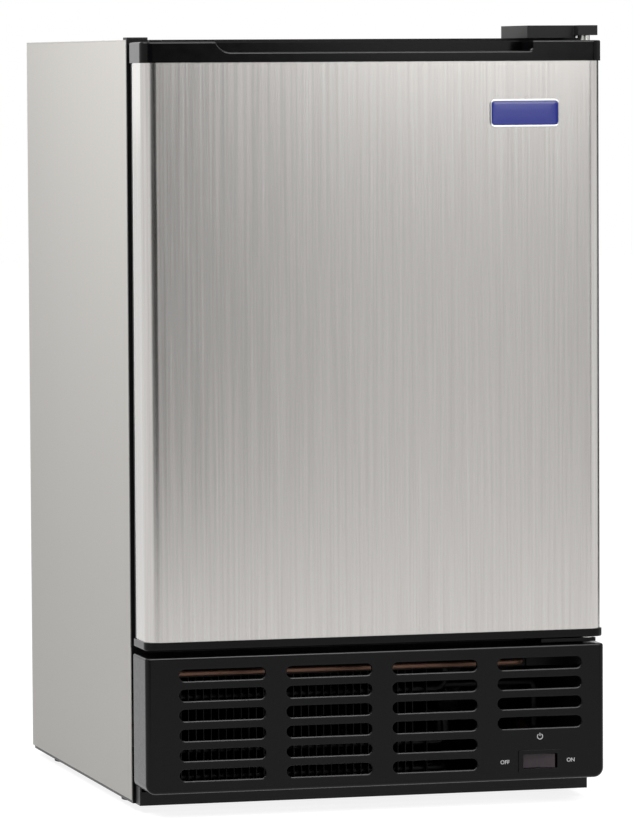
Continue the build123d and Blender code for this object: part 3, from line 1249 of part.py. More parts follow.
FAN_X = (CONDENSER_X0 + CONDENSER_X1) / 2
FAN_Z = (PAN_TOP + CONDENSER_Z1) / 2
RING_RADIUS = (CONDENSER_Z1 - PAN_TOP) / 2 - FAN_RING_MARGIN - SHROUD_WALL
FAN_RADIUS = RING_RADIUS - FAN_RING_GAP
RING_Y1 = CONDENSER_Y1 + FAN_RING_LENGTH
HUB_Y0 = CONDENSER_Y1 + FAN_HUB_BACK
HUB_Y1 = HUB_Y0 + FAN_HUB_LENGTH
FAN_MOTOR_Y0 = HUB_Y1 + FAN_MOTOR_GAP
COLLAR_Y0 = RING_Y1 - FAN_COLLAR


def fan_shroud():
    y1 = CONDENSER_Y1 + SHROUD_WALL
    shroud = slab(CONDENSER_X0, CONDENSER_X1, CONDENSER_Y1, y1, PAN_TOP, CONDENSER_Z1)
    shroud += rod_y(RING_RADIUS + SHROUD_WALL, FAN_X, CONDENSER_Y1, RING_Y1, FAN_Z)
    shroud -= rod_y(RING_RADIUS, FAN_X, CONDENSER_Y1 - CUT_OVER, RING_Y1 + CUT_OVER, FAN_Z)
    shroud += rod_y(FAN_MOTOR_RADIUS + FAN_COLLAR, FAN_X, COLLAR_Y0, RING_Y1, FAN_Z)
    reach = RING_RADIUS + SHROUD_WALL / 2
    for count in range(FAN_ARMS):
        arm = slab(0.0, reach, COLLAR_Y0, RING_Y1, -FAN_ARM_WIDTH / 2, FAN_ARM_WIDTH / 2)
        shroud += Pos(FAN_X, 0, FAN_Z) * Rot(0, 360.0 * count / FAN_ARMS + 90.0, 0) * arm
    seat = rod_y(FAN_MOTOR_RADIUS + PRESS_FIT, FAN_X, COLLAR_Y0 - CUT_OVER, RING_Y1 + CUT_OVER, FAN_Z)
    return shroud - seat


def fan_blade():
    fan = rod_y(FAN_HUB_RADIUS, FAN_X, HUB_Y0, HUB_Y1, FAN_Z)
    fan += rod_y(FAN_SHAFT_RADIUS, FAN_X, HUB_Y0, FAN_MOTOR_Y0 + FAN_SHAFT_HOLD, FAN_Z)
    root = FAN_HUB_RADIUS / 2
    place = Pos(FAN_X, (HUB_Y0 + HUB_Y1) / 2, FAN_Z)
    for count in range(FAN_BLADES):
        blade = Box(FAN_RADIUS - root, FAN_BLADE_THICK, FAN_BLADE_CHORD)
        blade = Pos((FAN_RADIUS + root) / 2, 0, 0) * Rot(FAN_BLADE_PITCH, 0, 0) * blade
        fan += place * Rot(0, 360.0 * count / FAN_BLADES, 0) * blade
    return fan


def fan_motor():
    motor = rod_y(FAN_MOTOR_RADIUS, FAN_X, FAN_MOTOR_Y0, FAN_MOTOR_Y0 + FAN_MOTOR_LENGTH, FAN_Z)
    end = FAN_MOTOR_Y0 + FAN_SHAFT_HOLD + CUT_OVER
    return motor - rod_y(FAN_SHAFT_RADIUS + RUN_FIT, FAN_X, FAN_MOTOR_Y0 - CUT_OVER, end, FAN_Z)


def filter_drier():
    drier = rod_y(DRIER_RADIUS, DRIER_X, DRIER_Y0, DRIER_Y1, DRIER_Z)
    ends = drier.edges().filter_by(GeomType.CIRCLE)
    wall = drier.faces().sort_by(Axis.X)[0]
    return chamfer(ends, length=DRIER_CONE, length2=DRIER_RADIUS - LINE_RADIUS, reference=wall)


def condenser_lines():
    """Return the discharge line with its loop along the front rail."""
    return pipe(DISCHARGE_ROUTE, LINE_RADIUS, SMALL_BEND)


def evaporator_lines():
    """Return the suction line and the capillary tube."""
    suction = pipe(SUCTION_ROUTE, SUCTION_RADIUS, LINE_BEND)
    return group([suction, pipe(CAPILLARY_ROUTE, CAPILLARY_RADIUS, SMALL_BEND)])


def water_valve():
    half = VALVE_WIDTH / 2
    valve = slab(CUP_X - half, CUP_X + half, COVER_IN - VALVE_DEPTH, COVER_IN, VALVE_Z0, VALVE_Z1)
    valve += rod_y(NIPPLE_RADIUS, CUP_X, COVER_IN, COVER_IN + NIPPLE_LENGTH, NIPPLE_Z)
    return valve - rod_y(NIPPLE_BORE, CUP_X, COVER_IN, COVER_IN + NIPPLE_LENGTH + CUT_OVER, NIPPLE_Z)


def junction_box():
    x0 = -X_OUT + BOX_FROM_LEFT
    y1 = COVER_IN - VALVE_DEPTH - BOX_TO_VALVE
    return slab(x0, x0 + BOX_WIDTH, y1 - BOX_DEPTH, y1, PAN_TOP, PAN_TOP + BOX_HEIGHT)


def cord_gland():
    y0 = COVER_IN - PAN_STEEL
    gland = rod_y(GLAND_RADIUS, GLAND_X, y0, COVER_OUT + GLAND_OUT, GLAND_Z)
    return gland - rod_y(GLAND_BORE, GLAND_X, y0 - CUT_OVER, COVER_OUT + GLAND_OUT + CUT_OVER, GLAND_Z)


NODES = {
    "left_side_panel": side_panel(-1),
    "right_side_panel": side_panel(1),
    "top_panel": top_panel(),
    "back_panel": back_panel(),
    "deck_panel": deck_panel(),
    "front_frame": front_frame(),
    "inner_liner": inner_liner(),
    "cabinet_foam": cabinet_foam(),
    "base_pan": base_pan(),
    "rear_cover": rear_cover(),
    "door_skin": door_skin(),
    "door_foam": door_foam(),
    "door_liner": door_liner(),
    "door_retainer": door_retainer(),
    "door_gasket": door_gasket(),
    "door_top_trim": door_top_trim(),
    "door_bottom_trim": door_bottom_trim(),
    "door_bushes": door_bushes(),
    "hinge_hole_plug": hinge_hole_plug(),
    "badge": badge(),
    "upper_hinge_bracket": upper_hinge_bracket(),
    "hinge_cover": hinge_cover(),
    "lower_hinge_bracket": lower_hinge_bracket(),
    "hinge_pins": hinge_pins(),
    "screws": screws(),
    "hinge_blank_plate": hinge_blank_plate(),
    "kick_plate": kick_plate(),
    "switch_body": switch_body(),
    "rocker": rocker(),
    "ice_mould": ice_mould(),
    "module_head": module_head(),
    "module_cover": module_cover(),
    "gear_motor": gear_motor(),
    "motor_pinion": motor_pinion(),
    "drive_gear": drive_gear(),
    "ejector": ejector(),
    "stripper": stripper(),
    "shut_off_arm": shut_off_arm(),
    "fill_cup": fill_cup(),
    "fill_tube": fill_tube(),
    "ice_bin": ice_bin(),
    "evaporator_plate": evaporator_plate(),
    "compressor": compressor(),
    "compressor_grommets": compressor_grommets(),
    "relay_box": relay_box(),
    "condenser_coil": condenser_coil(),
    "condenser_fins": condenser_fins(),
    "fan_shroud": fan_shroud(),
    "fan_blade": fan_blade(),
    "fan_motor": fan_motor(),
    "filter_drier": filter_drier(),
    "condenser_lines": condenser_lines(),
    "evaporator_lines": evaporator_lines(),
    "water_valve": water_valve(),
    "junction_box": junction_box(),
    "cord_gland": cord_gland(),
}
FOOT_NAMES = ("foot_front_left", "foot_front_right", "foot_back_left", "foot_back_right")
for name, (foot_x, foot_y) in zip(FOOT_NAMES, foot_places()):
    NODES[name] = levelling_foot(foot_x, foot_y)

for name, shape in NODES.items():
    export_step(shape, f"parts/{name}.step")
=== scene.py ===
"""Studio view of a compact ice maker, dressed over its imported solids. Metres, +Z up, front faces -Y."""
import json
from math import cos, radians, sin

import bmesh
import bpy
import numpy as np
from mathutils import Matrix, Vector

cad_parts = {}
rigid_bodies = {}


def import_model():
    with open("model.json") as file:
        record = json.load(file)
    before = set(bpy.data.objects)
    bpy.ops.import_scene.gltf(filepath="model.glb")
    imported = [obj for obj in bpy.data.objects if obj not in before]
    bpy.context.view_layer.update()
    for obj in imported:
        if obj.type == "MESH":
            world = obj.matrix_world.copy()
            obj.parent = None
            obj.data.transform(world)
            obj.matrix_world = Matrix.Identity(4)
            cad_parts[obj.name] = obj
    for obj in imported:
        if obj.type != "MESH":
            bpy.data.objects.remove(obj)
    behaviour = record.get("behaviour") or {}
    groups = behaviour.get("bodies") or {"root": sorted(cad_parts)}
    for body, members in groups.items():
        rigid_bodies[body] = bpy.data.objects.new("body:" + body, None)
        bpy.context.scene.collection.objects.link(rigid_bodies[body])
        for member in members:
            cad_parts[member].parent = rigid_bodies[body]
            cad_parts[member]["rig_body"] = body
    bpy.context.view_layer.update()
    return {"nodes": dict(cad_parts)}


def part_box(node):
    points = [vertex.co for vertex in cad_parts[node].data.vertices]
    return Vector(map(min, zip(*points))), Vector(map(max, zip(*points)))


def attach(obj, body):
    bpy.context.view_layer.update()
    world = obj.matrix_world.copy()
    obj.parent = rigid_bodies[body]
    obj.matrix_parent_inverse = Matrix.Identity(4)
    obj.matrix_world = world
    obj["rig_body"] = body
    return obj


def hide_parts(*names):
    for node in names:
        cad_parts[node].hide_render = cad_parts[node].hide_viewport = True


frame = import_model()
SOLIDS = frame["nodes"]
MM = 0.001

# Photograph's frame and the camera worked out for it
IMAGE_HEIGHT = 834
FOCAL_PIXELS = 5455.4
SENSOR = 36.0
CAMERA_PLACE = (-1.1639, -4.3938, 0.5934)
CAMERA_YAW = 0.2607
CAMERA_DOWN = 0.0640
CAMERA_ROLL = 0.0057
CAMERA_REACH = 100.0

# Door sizes that its solids also have
WALL = 1.0 * MM
SKIN_CORNER = 11.0 * MM
TRIM_CORNER = 9.0 * MM
TRIM_EDGE = 1.5 * MM
LIP_INNER_EDGE = 0.8 * MM
POCKET_LIP = 6.0 * MM
POCKET_FROM_END = 58.5 * MM
POCKET_TO_BACK = 10.0 * MM
POCKET_DEPTH = 32.0 * MM
POCKET_LIP_DROP = 8.4 * MM
POCKET_LEFT_RADIUS = 14.0 * MM
POCKET_RIGHT_RADIUS = 3.0 * MM
POCKET_WALL = 2.5 * MM
BUSH_RADIUS = 7.0 * MM
PLUG_STEM = 4.0 * MM
BADGE_RADIUS = 4.0 * MM

# Points along the door's plan, and how far the trims' even stations reach from the middle
CORNER_STEPS = 17
SIDE_STEPS = 5
ACROSS_STEPS = 22
POCKET_MIDDLE_MM = 100
TRIM_MIDDLE_MM = 170

# Paint on the side panels: how deep it wraps their edges, and how far it covers their end flanges; within
# that their inner faces are dark primer and painted shade
PAINT_EDGE = 0.3 * MM
FLANGE_PAINT = 2.0 * MM

# Kick plate's slots that its solid also has, and the rounding of their front edges
SLOT_LENGTH = 70.5 * MM
SLOT_HEIGHT = 9.0 * MM
SLOT_ROWS = (6, 6, 6, 4)
SLOT_PITCH_X = 87.7 * MM
SLOT_PITCH_Z = 15.9 * MM
SLOT_FROM_LEFT = 27.2 * MM
SLOT_BELOW_TOP = 14.5 * MM
SLOT_LIP = 1.2 * MM

# Funnel that rounds a slot's edge: its turn in degrees, and its ends' outset and depth as parts of the lip
FUNNEL_TURN = (12.0, 80.0)
FUNNEL_STEPS = 7
FUNNEL_FRONT = (1.05, -0.4)
FUNNEL_BACK = (-0.25, 1.0)

# Print beside the switch
LETTER_SIZE = 4.4 * MM
LETTER_WEIGHT = 0.08 * MM
INK_THICKNESS = 0.03 * MM
OFF_LEFT = 29.6 * MM
ON_RIGHT = 25.9 * MM
MARK_ABOVE = 20.0 * MM
MARK_RADIUS = 2.2 * MM
MARK_LINE = 0.7 * MM
MARK_OPENING = (125.0, 415.0)
MARK_STEPS = 49
MARK_BAR_FOOT = 0.2
MARK_BAR_TOP = 1.3

# Meshes: reaches within which points are one, in metres, and angles in degrees
SAME_POINT = 1e-7
SOLID_POINT = 1e-6
SLIVER = 2e-5
SHARP_ANGLE = 32.0
FLAT_ANGLE = 0.5
BEVEL_ANGLE = 40.0
BEVEL_STEPS = 3
DRILL_SIDES = 64
SQUARE_PART = 0.99999

# Patterns: slow clouds in every grained finish, and the brushed lines' spacing and length
CLOUDS_PER_METRE = 9.0
CLOUD_SHARE = 0.35
FINE_LINE = (0.3 * MM, 60 * MM)
WIDE_LINE = (2.2 * MM, 220 * MM)
WIDE_SHARE = 0.7

# Studio: the world's level where it only lights the object, and the floor's size and glow
WORLD_LIGHT = 0.35
FLOOR_REACH = 12.0
FLOOR_GLOW = 0.86


# Meshes


def put_piece(name, mesh, body, material, stands_for=(), flatten=True):
    """Add a finished mesh as a piece that rides on a body and may stand for solids.

    Flattened shading lets broad faces keep their own direction beside small rounded edges.
    """
    piece = bpy.data.objects.new(name, mesh)
    bpy.context.scene.collection.objects.link(piece)
    mesh.materials.clear()
    mesh.materials.append(material)
    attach(piece, body)
    if stands_for:
        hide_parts(*stands_for)
    if flatten:
        piece.modifiers.new("broad_faces", "WEIGHTED_NORMAL").keep_sharp = True
    return piece


def smooth(mesh):
    """Shade smooth, with sharp edges where faces meet at more than the sharp angle."""
    mesh.shade_smooth()
    mesh.set_sharp_from_angle(angle=radians(SHARP_ANGLE))


def tidy_normals(mesh, reach=SAME_POINT):
    """Merge points that are nearer than a reach, and turn every face outwards."""
    work = bmesh.new()
    work.from_mesh(mesh)
    bmesh.ops.remove_doubles(work, verts=work.verts, dist=reach)
    bmesh.ops.dissolve_degenerate(work, edges=work.edges, dist=reach)
    bmesh.ops.recalc_face_normals(work, faces=work.faces)
    work.to_mesh(mesh)
    work.free()


def flat_squares(mesh):
    """Shade flat every face that lies square to an axis, which its normal's largest part shows."""
    normal = np.empty(len(mesh.polygons) * 3)
    mesh.polygons.foreach_get("normal", normal)
    square = np.abs(normal.reshape(-1, 3)).max(axis=1) > SQUARE_PART
    mesh.polygons.foreach_set("use_smooth", ~square)


def grid_mesh(name, points, wrap_u=False, wrap_v=False, caps=False):
    """Mesh of a surface given as an array of points over two parameters, u by v.

    A wrapped parameter joins its last line to its first. Caps close the first and last lines of u.
    """
    count_u, count_v = points.shape[:2]
    u = np.arange(count_u if wrap_u else count_u - 1)
    v = np.arange(count_v if wrap_v else count_v - 1)
    u, v = (a.ravel() for a in np.meshgrid(u, v, indexing="ij"))
    next_u = (u + 1) % count_u
    next_v = (v + 1) % count_v
    quads = np.stack(
        [u * count_v + v, next_u * count_v + v, next_u * count_v + next_v, u * count_v + next_v], axis=1
    )
    faces = quads.tolist()
    if caps:
        faces.append(list(range(count_v)))
        faces.append([(count_u - 1) * count_v + k for k in range(count_v)])
    mesh = bpy.data.meshes.new(name)
    mesh.from_pydata(points.reshape(-1, 3).tolist(), [], faces)
    tidy_normals(mesh)
    smooth(mesh)
    return mesh


def merged(node):
    """Copy of a solid's mesh with its loose triangles joined."""
    mesh = SOLIDS[node].data.copy()
    mesh.name = node + "_dressed"
    work = bmesh.new()
    work.from_mesh(mesh)
    bmesh.ops.remove_doubles(work, verts=work.verts, dist=SOLID_POINT)
    work.to_mesh(mesh)
    work.free()
    return mesh


def softened(node, width, material):
    """Merged copy of a solid with its sharp edges rounded to a width, standing for the solid."""
    mesh = merged(node)
    work = bmesh.new()
    work.from_mesh(mesh)
    bmesh.ops.dissolve_limit(work, angle_limit=radians(FLAT_ANGLE), verts=work.verts, edges=work.edges)
    work.to_mesh(mesh)
    work.free()
    smooth(mesh)
    body = SOLIDS[node]["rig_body"]
    piece = put_piece(mesh.name, mesh, body, material, (node,), flatten=False)
    bevel = piece.modifiers.new("rounded_edges", "BEVEL")
    bevel.width = width
    bevel.segments = BEVEL_STEPS
    bevel.limit_method = "ANGLE"
    bevel.angle_limit = radians(BEVEL_ANGLE)
    bevel.harden_normals = True


def cut_away(mesh, cutters):
    """Mesh with the space of other closed meshes taken out of it."""
    host = bpy.data.objects.new("host", mesh)
    helpers = [host]
    for cutter in cutters:
        helpers.append(bpy.data.objects.new("cutter", cutter))
        cut = host.modifiers.new("hole", "BOOLEAN")
        cut.object = helpers[-1]
        cut.solver = "EXACT"
    for helper in helpers:
        bpy.context.scene.collection.objects.link(helper)
    made = bpy.data.meshes.new_from_object(host.evaluated_get(bpy.context.evaluated_depsgraph_get()))
    for helper in helpers:
        bpy.data.objects.remove(helper)
    made.name = mesh.name
    smooth(made)
    return made


def drilled(mesh, holes):
    """Mesh with upright round holes cut in it, each given as its X, Y, radius, foot and top."""
    drills = []
    for x, y, radius, foot, top in holes:
        drill = bpy.data.meshes.new("drill")
        work = bmesh.new()
        bmesh.ops.create_cone(
            work, cap_ends=True, segments=DRILL_SIDES, radius1=radius, radius2=radius, depth=top - foot,
            matrix=Matrix.Translation((x, y, (foot + top) / 2)),
        )
        work.to_mesh(drill)
        work.free()
        drills.append(drill)
    return cut_away(mesh, drills)


def arc(radius, start, end, steps):
    """Points of an arc about the origin, as columns of cosine and sine times the radius."""
    angle = np.radians(np.linspace(start, end, steps))
    return np.stack([radius * np.cos(angle), radius * np.sin(angle)], axis=1)


# Materials


def linear(colour):
    """Linear RGBA of an sRGB hex colour."""
    channels = [int(colour[k:k + 2], 16) / 255 for k in (1, 3, 5)]
    return tuple(c / 12.92 if c <= 0.04045 else ((c + 0.055) / 1.055) ** 2.4 for c in channels) + (1.0,)


def add(tree, kind, inputs=None, **settings):
    """Add a node with its settings, and fill or link its inputs."""
    node = tree.nodes.new(kind)
    for key, value in settings.items():
        setattr(node, key, value)
    for key, value in (inputs or {}).items():
        if isinstance(value, bpy.types.NodeSocket):
            tree.links.new(value, node.inputs[key])
        else:
            node.inputs[key].default_value = value
    return node


def surface(name, **inputs):
    """New material with a Principled surface, its tree, its shader and its object coordinates."""
    made = bpy.data.materials.new(name)
    made.use_nodes = True
    tree = made.node_tree
    shader = tree.nodes["Principled BSDF"]
    for key, value in inputs.items():
        shader.inputs[key.replace("_", " ")].default_value = value
    place = add(tree, "ShaderNodeTexCoord").outputs["Object"]
    return made, tree, shader, place


def grained(name, colours, grain_mm, rough, bump_mm, stretch=(1.0, 1.0, 1.0), detail=4.0, **inputs):
    """Material whose colour, gloss and relief follow one grain of a real size in millimetres."""
    made, tree, shader, place = surface(name, **inputs)
    spread = add(tree, "ShaderNodeMapping", {"Vector": place, "Scale": stretch}).outputs[0]
    scale = 1 / (grain_mm * MM)
    grain = add(tree, "ShaderNodeTexNoise", {"Vector": spread, "Scale": scale, "Detail": detail}).outputs[0]
    cloud = add(tree, "ShaderNodeTexNoise", {"Vector": place, "Scale": CLOUDS_PER_METRE, "Detail": 3.0})
    both = add(tree, "ShaderNodeMix", {0: CLOUD_SHARE, 2: grain, 3: cloud.outputs[0]}).outputs[0]
    first, second = (linear(colour) for colour in colours)
    tint = add(tree, "ShaderNodeMix", {0: both, 6: first, 7: second}, data_type="RGBA")
    tree.links.new(tint.outputs[2], shader.inputs["Base Color"])
    gloss = add(tree, "ShaderNodeMapRange", {0: both, 1: 0.3, 2: 0.7, 3: rough[0], 4: rough[1]})
    tree.links.new(gloss.outputs[0], shader.inputs["Roughness"])
    relief = add(tree, "ShaderNodeBump", {"Strength": 1.0, "Distance": bump_mm * MM, "Height": grain})
    tree.links.new(relief.outputs[0], shader.inputs["Normal"])
    return made


# Powder-coated steel sheet: satin, with a faint orange peel about 2 mm across
CABINET_PAINT = grained(
    "silver_grey_painted_steel", ("#c0bdb8", "#c8c5c0"), 2.0, (0.46, 0.55), 0.012, Specular_IOR_Level=0.3
)
# Hot-dip galvanised sheet: grey spangle about 12 mm across
GALVANISED = grained(
    "galvanised_steel", ("#8f9294", "#b4b7b8"), 12.0, (0.32, 0.5), 0.01, detail=1.0, Metallic=0.9
)
# Black e-coated steel: satin black with fine dust-like texture
BLACK_STEEL = grained(
    "black_painted_steel", ("#08080a", "#101012"), 1.2, (0.34, 0.46), 0.01, Specular_IOR_Level=0.22
)
# Zinc-plated steel: bright with faint drawing lines about 0.6 mm apart
ZINC = grained(
    "zinc_plated_steel", ("#b8b9b6", "#cfcfca"), 0.6, (0.2, 0.32), 0.006, (1.0, 1.0, 0.1), Metallic=1.0
)
# Injection-moulded ABS polished to a deep gloss, with slow waves about 8 mm long from moulding
GLOSS_BLACK = grained(
    "gloss_black_abs", ("#060607", "#0b0b0d"), 8.0, (0.12, 0.18), 0.006, detail=1.0, Specular_IOR_Level=0.12
)
# Spark-eroded nylon and ABS: matt black, grain about 0.8 mm drawn coarse enough to show
MATT_BLACK = grained(
    "textured_black_abs", ("#0d0d0e", "#151516"), 0.8, (0.42, 0.55), 0.03, Specular_IOR_Level=0.2
)
# Kick-plate ABS: satin black, its moulded skin in soft ripples about 5 mm across
SATIN_BLACK = grained(
    "satin_black_abs", ("#070708", "#0d0d0e"), 5.0, (0.18, 0.26), 0.01, detail=2.0, Specular_IOR_Level=0.14
)
# Vacuum-formed high-impact polystyrene: soft white, drawn over slow waves of about 9 mm
WHITE_PLASTIC = grained("white_polystyrene", ("#dedfdd", "#e8e9e7"), 9.0, (0.26, 0.36), 0.012, detail=1.0)
# Polyacetal mouldings: off-white and waxy
NYLON = grained("natural_polyacetal", ("#dcd9cf", "#e8e5dc"), 1.5, (0.35, 0.45), 0.01, IOR=1.48)
# Poured polyurethane foam: honey-coloured with cells about 1.5 mm across
FOAM = grained("polyurethane_foam", ("#c9ad6f", "#d9c189"), 1.5, (0.85, 0.95), 0.25)
# Extruded flexible PVC: dull black with a bloom
GASKET = grained(
    "flexible_pvc_gasket", ("#0d0d0f", "#161618"), 1.0, (0.48, 0.6), 0.01, Specular_IOR_Level=0.3
)
# Moulded rubber: dull dark grey
RUBBER = grained("moulded_rubber", ("#141414", "#1f1f1f"), 1.0, (0.62, 0.75), 0.02, IOR=1.52)
# Die-cast aluminium: bright grey with a fine cast skin of about 1.2 mm
CAST_ALUMINIUM = grained("die_cast_aluminium", ("#a9abad", "#c2c4c5"), 1.2, (0.34, 0.48), 0.04, Metallic=1.0)
# Rolled aluminium sheet: bright, with rolling lines about 0.5 mm apart
SHEET_ALUMINIUM = grained(
    "rolled_aluminium", ("#c0c2c4", "#d8dadb"), 0.5, (0.22, 0.36), 0.006, (1.0, 1.0, 0.08), Metallic=1.0
)
# Drawn copper tube: dulled by oxide to a pinkish brown, in patches about 7 mm across
COPPER = grained("drawn_copper", ("#6e5043", "#8f6f5f"), 7.0, (0.34, 0.5), 0.01, Metallic=1.0)
# Enamelled compressor shell and motor frames: dark grey baked paint
MOTOR_PAINT = grained("baked_grey_enamel", ("#3d3f42", "#4a4d50"), 2.0, (0.35, 0.45), 0.015)
# Polished chromed rim
CHROME = grained(
    "polished_chrome", ("#d6d7d8", "#e2e3e4"), 3.0, (0.06, 0.1), 0.001, detail=1.0, Metallic=1.0
)
# Vitreous blue enamel under a clear coat
ENAMEL = grained("blue_enamel", ("#1c2a94", "#2433a4"), 2.5, (0.12, 0.18), 0.01, Coat_Weight=0.3)
# Pad-printed white ink
INK = grained("white_pad_print", ("#dcdcdc", "#ececec"), 0.6, (0.4, 0.5), 0.002)


def panel_paint_and_painted_shade():
    """Cabinet paint outside, and dark grey on the side panels' inner faces: a primer, and also painted shade
    for the dark inside of the cabinet.
    """
    low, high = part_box("right_side_panel")
    made = CABINET_PAINT.copy()
    made.name = "silver_grey_paint_over_primer_and_painted_shade"
    tree = made.node_tree
    shader = tree.nodes["Principled BSDF"]
    painted = shader.inputs["Base Color"].links[0].from_socket
    place = add(tree, "ShaderNodeTexCoord").outputs["Object"]
    axes = add(tree, "ShaderNodeSeparateXYZ", {0: place})
    reach = add(tree, "ShaderNodeMath", {0: axes.outputs[0]}, operation="ABSOLUTE").outputs[0]
    inner = add(tree, "ShaderNodeMath", {0: reach, 1: high.x - PAINT_EDGE}, operation="LESS_THAN").outputs[0]
    centre, half = (low.y + high.y) / 2, (high.y - low.y) / 2
    between = add(
        tree, "ShaderNodeMath", {0: axes.outputs[1], 1: centre, 2: half - FLANGE_PAINT}, operation="COMPARE"
    ).outputs[0]
    primer_and_shade = add(tree, "ShaderNodeMath", {0: inner, 1: between}, operation="MULTIPLY").outputs[0]
    # Dark grey over the inner faces: a primer, and also painted shade where the inside of the cabinet is
    # dark
    tint = add(tree, "ShaderNodeMix", {0: primer_and_shade, 6: painted, 7: linear("#1d1d1e")}, data_type="RGBA")
    tree.links.new(tint.outputs[2], shader.inputs["Base Color"])
    return made


def smoked_rocker():
    """Smoked polycarbonate: purplish brown, see-through at its thin edges, with a polished face."""
    made, tree, shader, place = surface(
        "smoked_polycarbonate", Roughness=0.12, IOR=1.58, Transmission_Weight=0.15, Specular_IOR_Level=0.15
    )
    cloud = add(tree, "ShaderNodeTexNoise", {"Vector": place, "Scale": 1 / (6.0 * MM), "Detail": 2.0})
    tint = add(
        tree, "ShaderNodeMix", {0: cloud.outputs[0], 6: linear("#41363c"), 7: linear("#50434a")},
        data_type="RGBA",
    )
    tree.links.new(tint.outputs[2], shader.inputs["Base Color"])
    return made


def clear_bin():
    """Moulded polypropylene: milky, half clear, with a fine frost about 1 mm across."""
    made, tree, shader, place = surface("milky_polypropylene", IOR=1.49, Transmission_Weight=0.35)
    frost = add(tree, "ShaderNodeTexNoise", {"Vector": place, "Scale": 1 / (1.0 * MM), "Detail": 3.0})
    tint = add(
        tree, "ShaderNodeMix", {0: frost.outputs[0], 6: linear("#dfe6ea"), 7: linear("#eef2f4")},
        data_type="RGBA",
    )
    tree.links.new(tint.outputs[2], shader.inputs["Base Color"])
    gloss = add(tree, "ShaderNodeMapRange", {0: frost.outputs[0], 3: 0.3, 4: 0.42})
    tree.links.new(gloss.outputs[0], shader.inputs["Roughness"])
    relief = add(tree, "ShaderNodeBump", {"Distance": 0.01 * MM, "Height": frost.outputs[0]})
    tree.links.new(relief.outputs[0], shader.inputs["Normal"])
    return made


def brushed_stainless():
    """Stainless sheet brushed up and down: fine lines along v of the sheet's own map, which is in metres.

    Lines about 0.3 mm apart are too fine for the render, so a second set 2.2 mm apart shows with them.
    """
    made, tree, shader, _ = surface("brushed_stainless_steel", Metallic=1.0, Anisotropic=0.5)
    sheet = add(tree, "ShaderNodeUVMap", uv_map="sheet").outputs[0]
    fine_scale = (1 / FINE_LINE[0], 1 / FINE_LINE[1], 1.0)
    wide_scale = (1 / WIDE_LINE[0], 1 / WIDE_LINE[1], 1.0)
    fine = add(tree, "ShaderNodeMapping", {"Vector": sheet, "Scale": fine_scale})
    wide = add(tree, "ShaderNodeMapping", {"Vector": sheet, "Scale": wide_scale})
    lines = add(tree, "ShaderNodeTexNoise", {"Vector": fine.outputs[0], "Scale": 1.0, "Detail": 3.0})
    bands = add(tree, "ShaderNodeTexNoise", {"Vector": wide.outputs[0], "Scale": 1.0, "Detail": 4.0})
    both = add(tree, "ShaderNodeMix", {0: WIDE_SHARE, 2: lines.outputs[0], 3: bands.outputs[0]}).outputs[0]
    shade = add(tree, "ShaderNodeMapRange", {0: both, 1: 0.35, 2: 0.65}).outputs[0]
    tint = add(
        tree, "ShaderNodeMix", {0: shade, 6: linear("#bdbab7"), 7: linear("#cdcac7")}, data_type="RGBA"
    )
    tree.links.new(tint.outputs[2], shader.inputs["Base Color"])
    gloss = add(tree, "ShaderNodeMapRange", {0: both, 1: 0.3, 2: 0.7, 3: 0.2, 4: 0.28})
    tree.links.new(gloss.outputs[0], shader.inputs["Roughness"])
    relief = add(tree, "ShaderNodeBump", {"Distance": 0.002 * MM, "Height": both})
    tree.links.new(relief.outputs[0], shader.inputs["Normal"])
    across = add(tree, "ShaderNodeTangent", direction_type="UV_MAP", uv_map="sheet")
    tree.links.new(across.outputs[0], shader.inputs["Tangent"])
    return made


PANEL_PAINT_AND_SHADE = panel_paint_and_painted_shade()
ROCKER_PLASTIC = smoked_rocker()
BIN_PLASTIC = clear_bin()
STAINLESS = brushed_stainless()

# Solids that keep their own shape and only take a finish
FINISHES = {
    GALVANISED: ["gear_motor"],
    BLACK_STEEL: ["front_frame", "compressor", "condenser_coil", "condenser_fins"],
    ZINC: ["hinge_pins", "shut_off_arm"],
    MATT_BLACK: ["fan_blade"],
    NYLON: ["door_bushes", "drive_gear", "motor_pinion", "ejector", "fill_tube"],
    FOAM: ["cabinet_foam", "door_foam"],
    RUBBER: ["compressor_grommets"],
    SHEET_ALUMINIUM: ["evaporator_plate"],
    COPPER: ["condenser_lines", "evaporator_lines", "filter_drier"],
    MOTOR_PAINT: ["fan_motor"],
}
for finish, names in FINISHES.items():
    for name in names:
        held = SOLIDS[name].data.materials
        held.clear()
        held.append(finish)

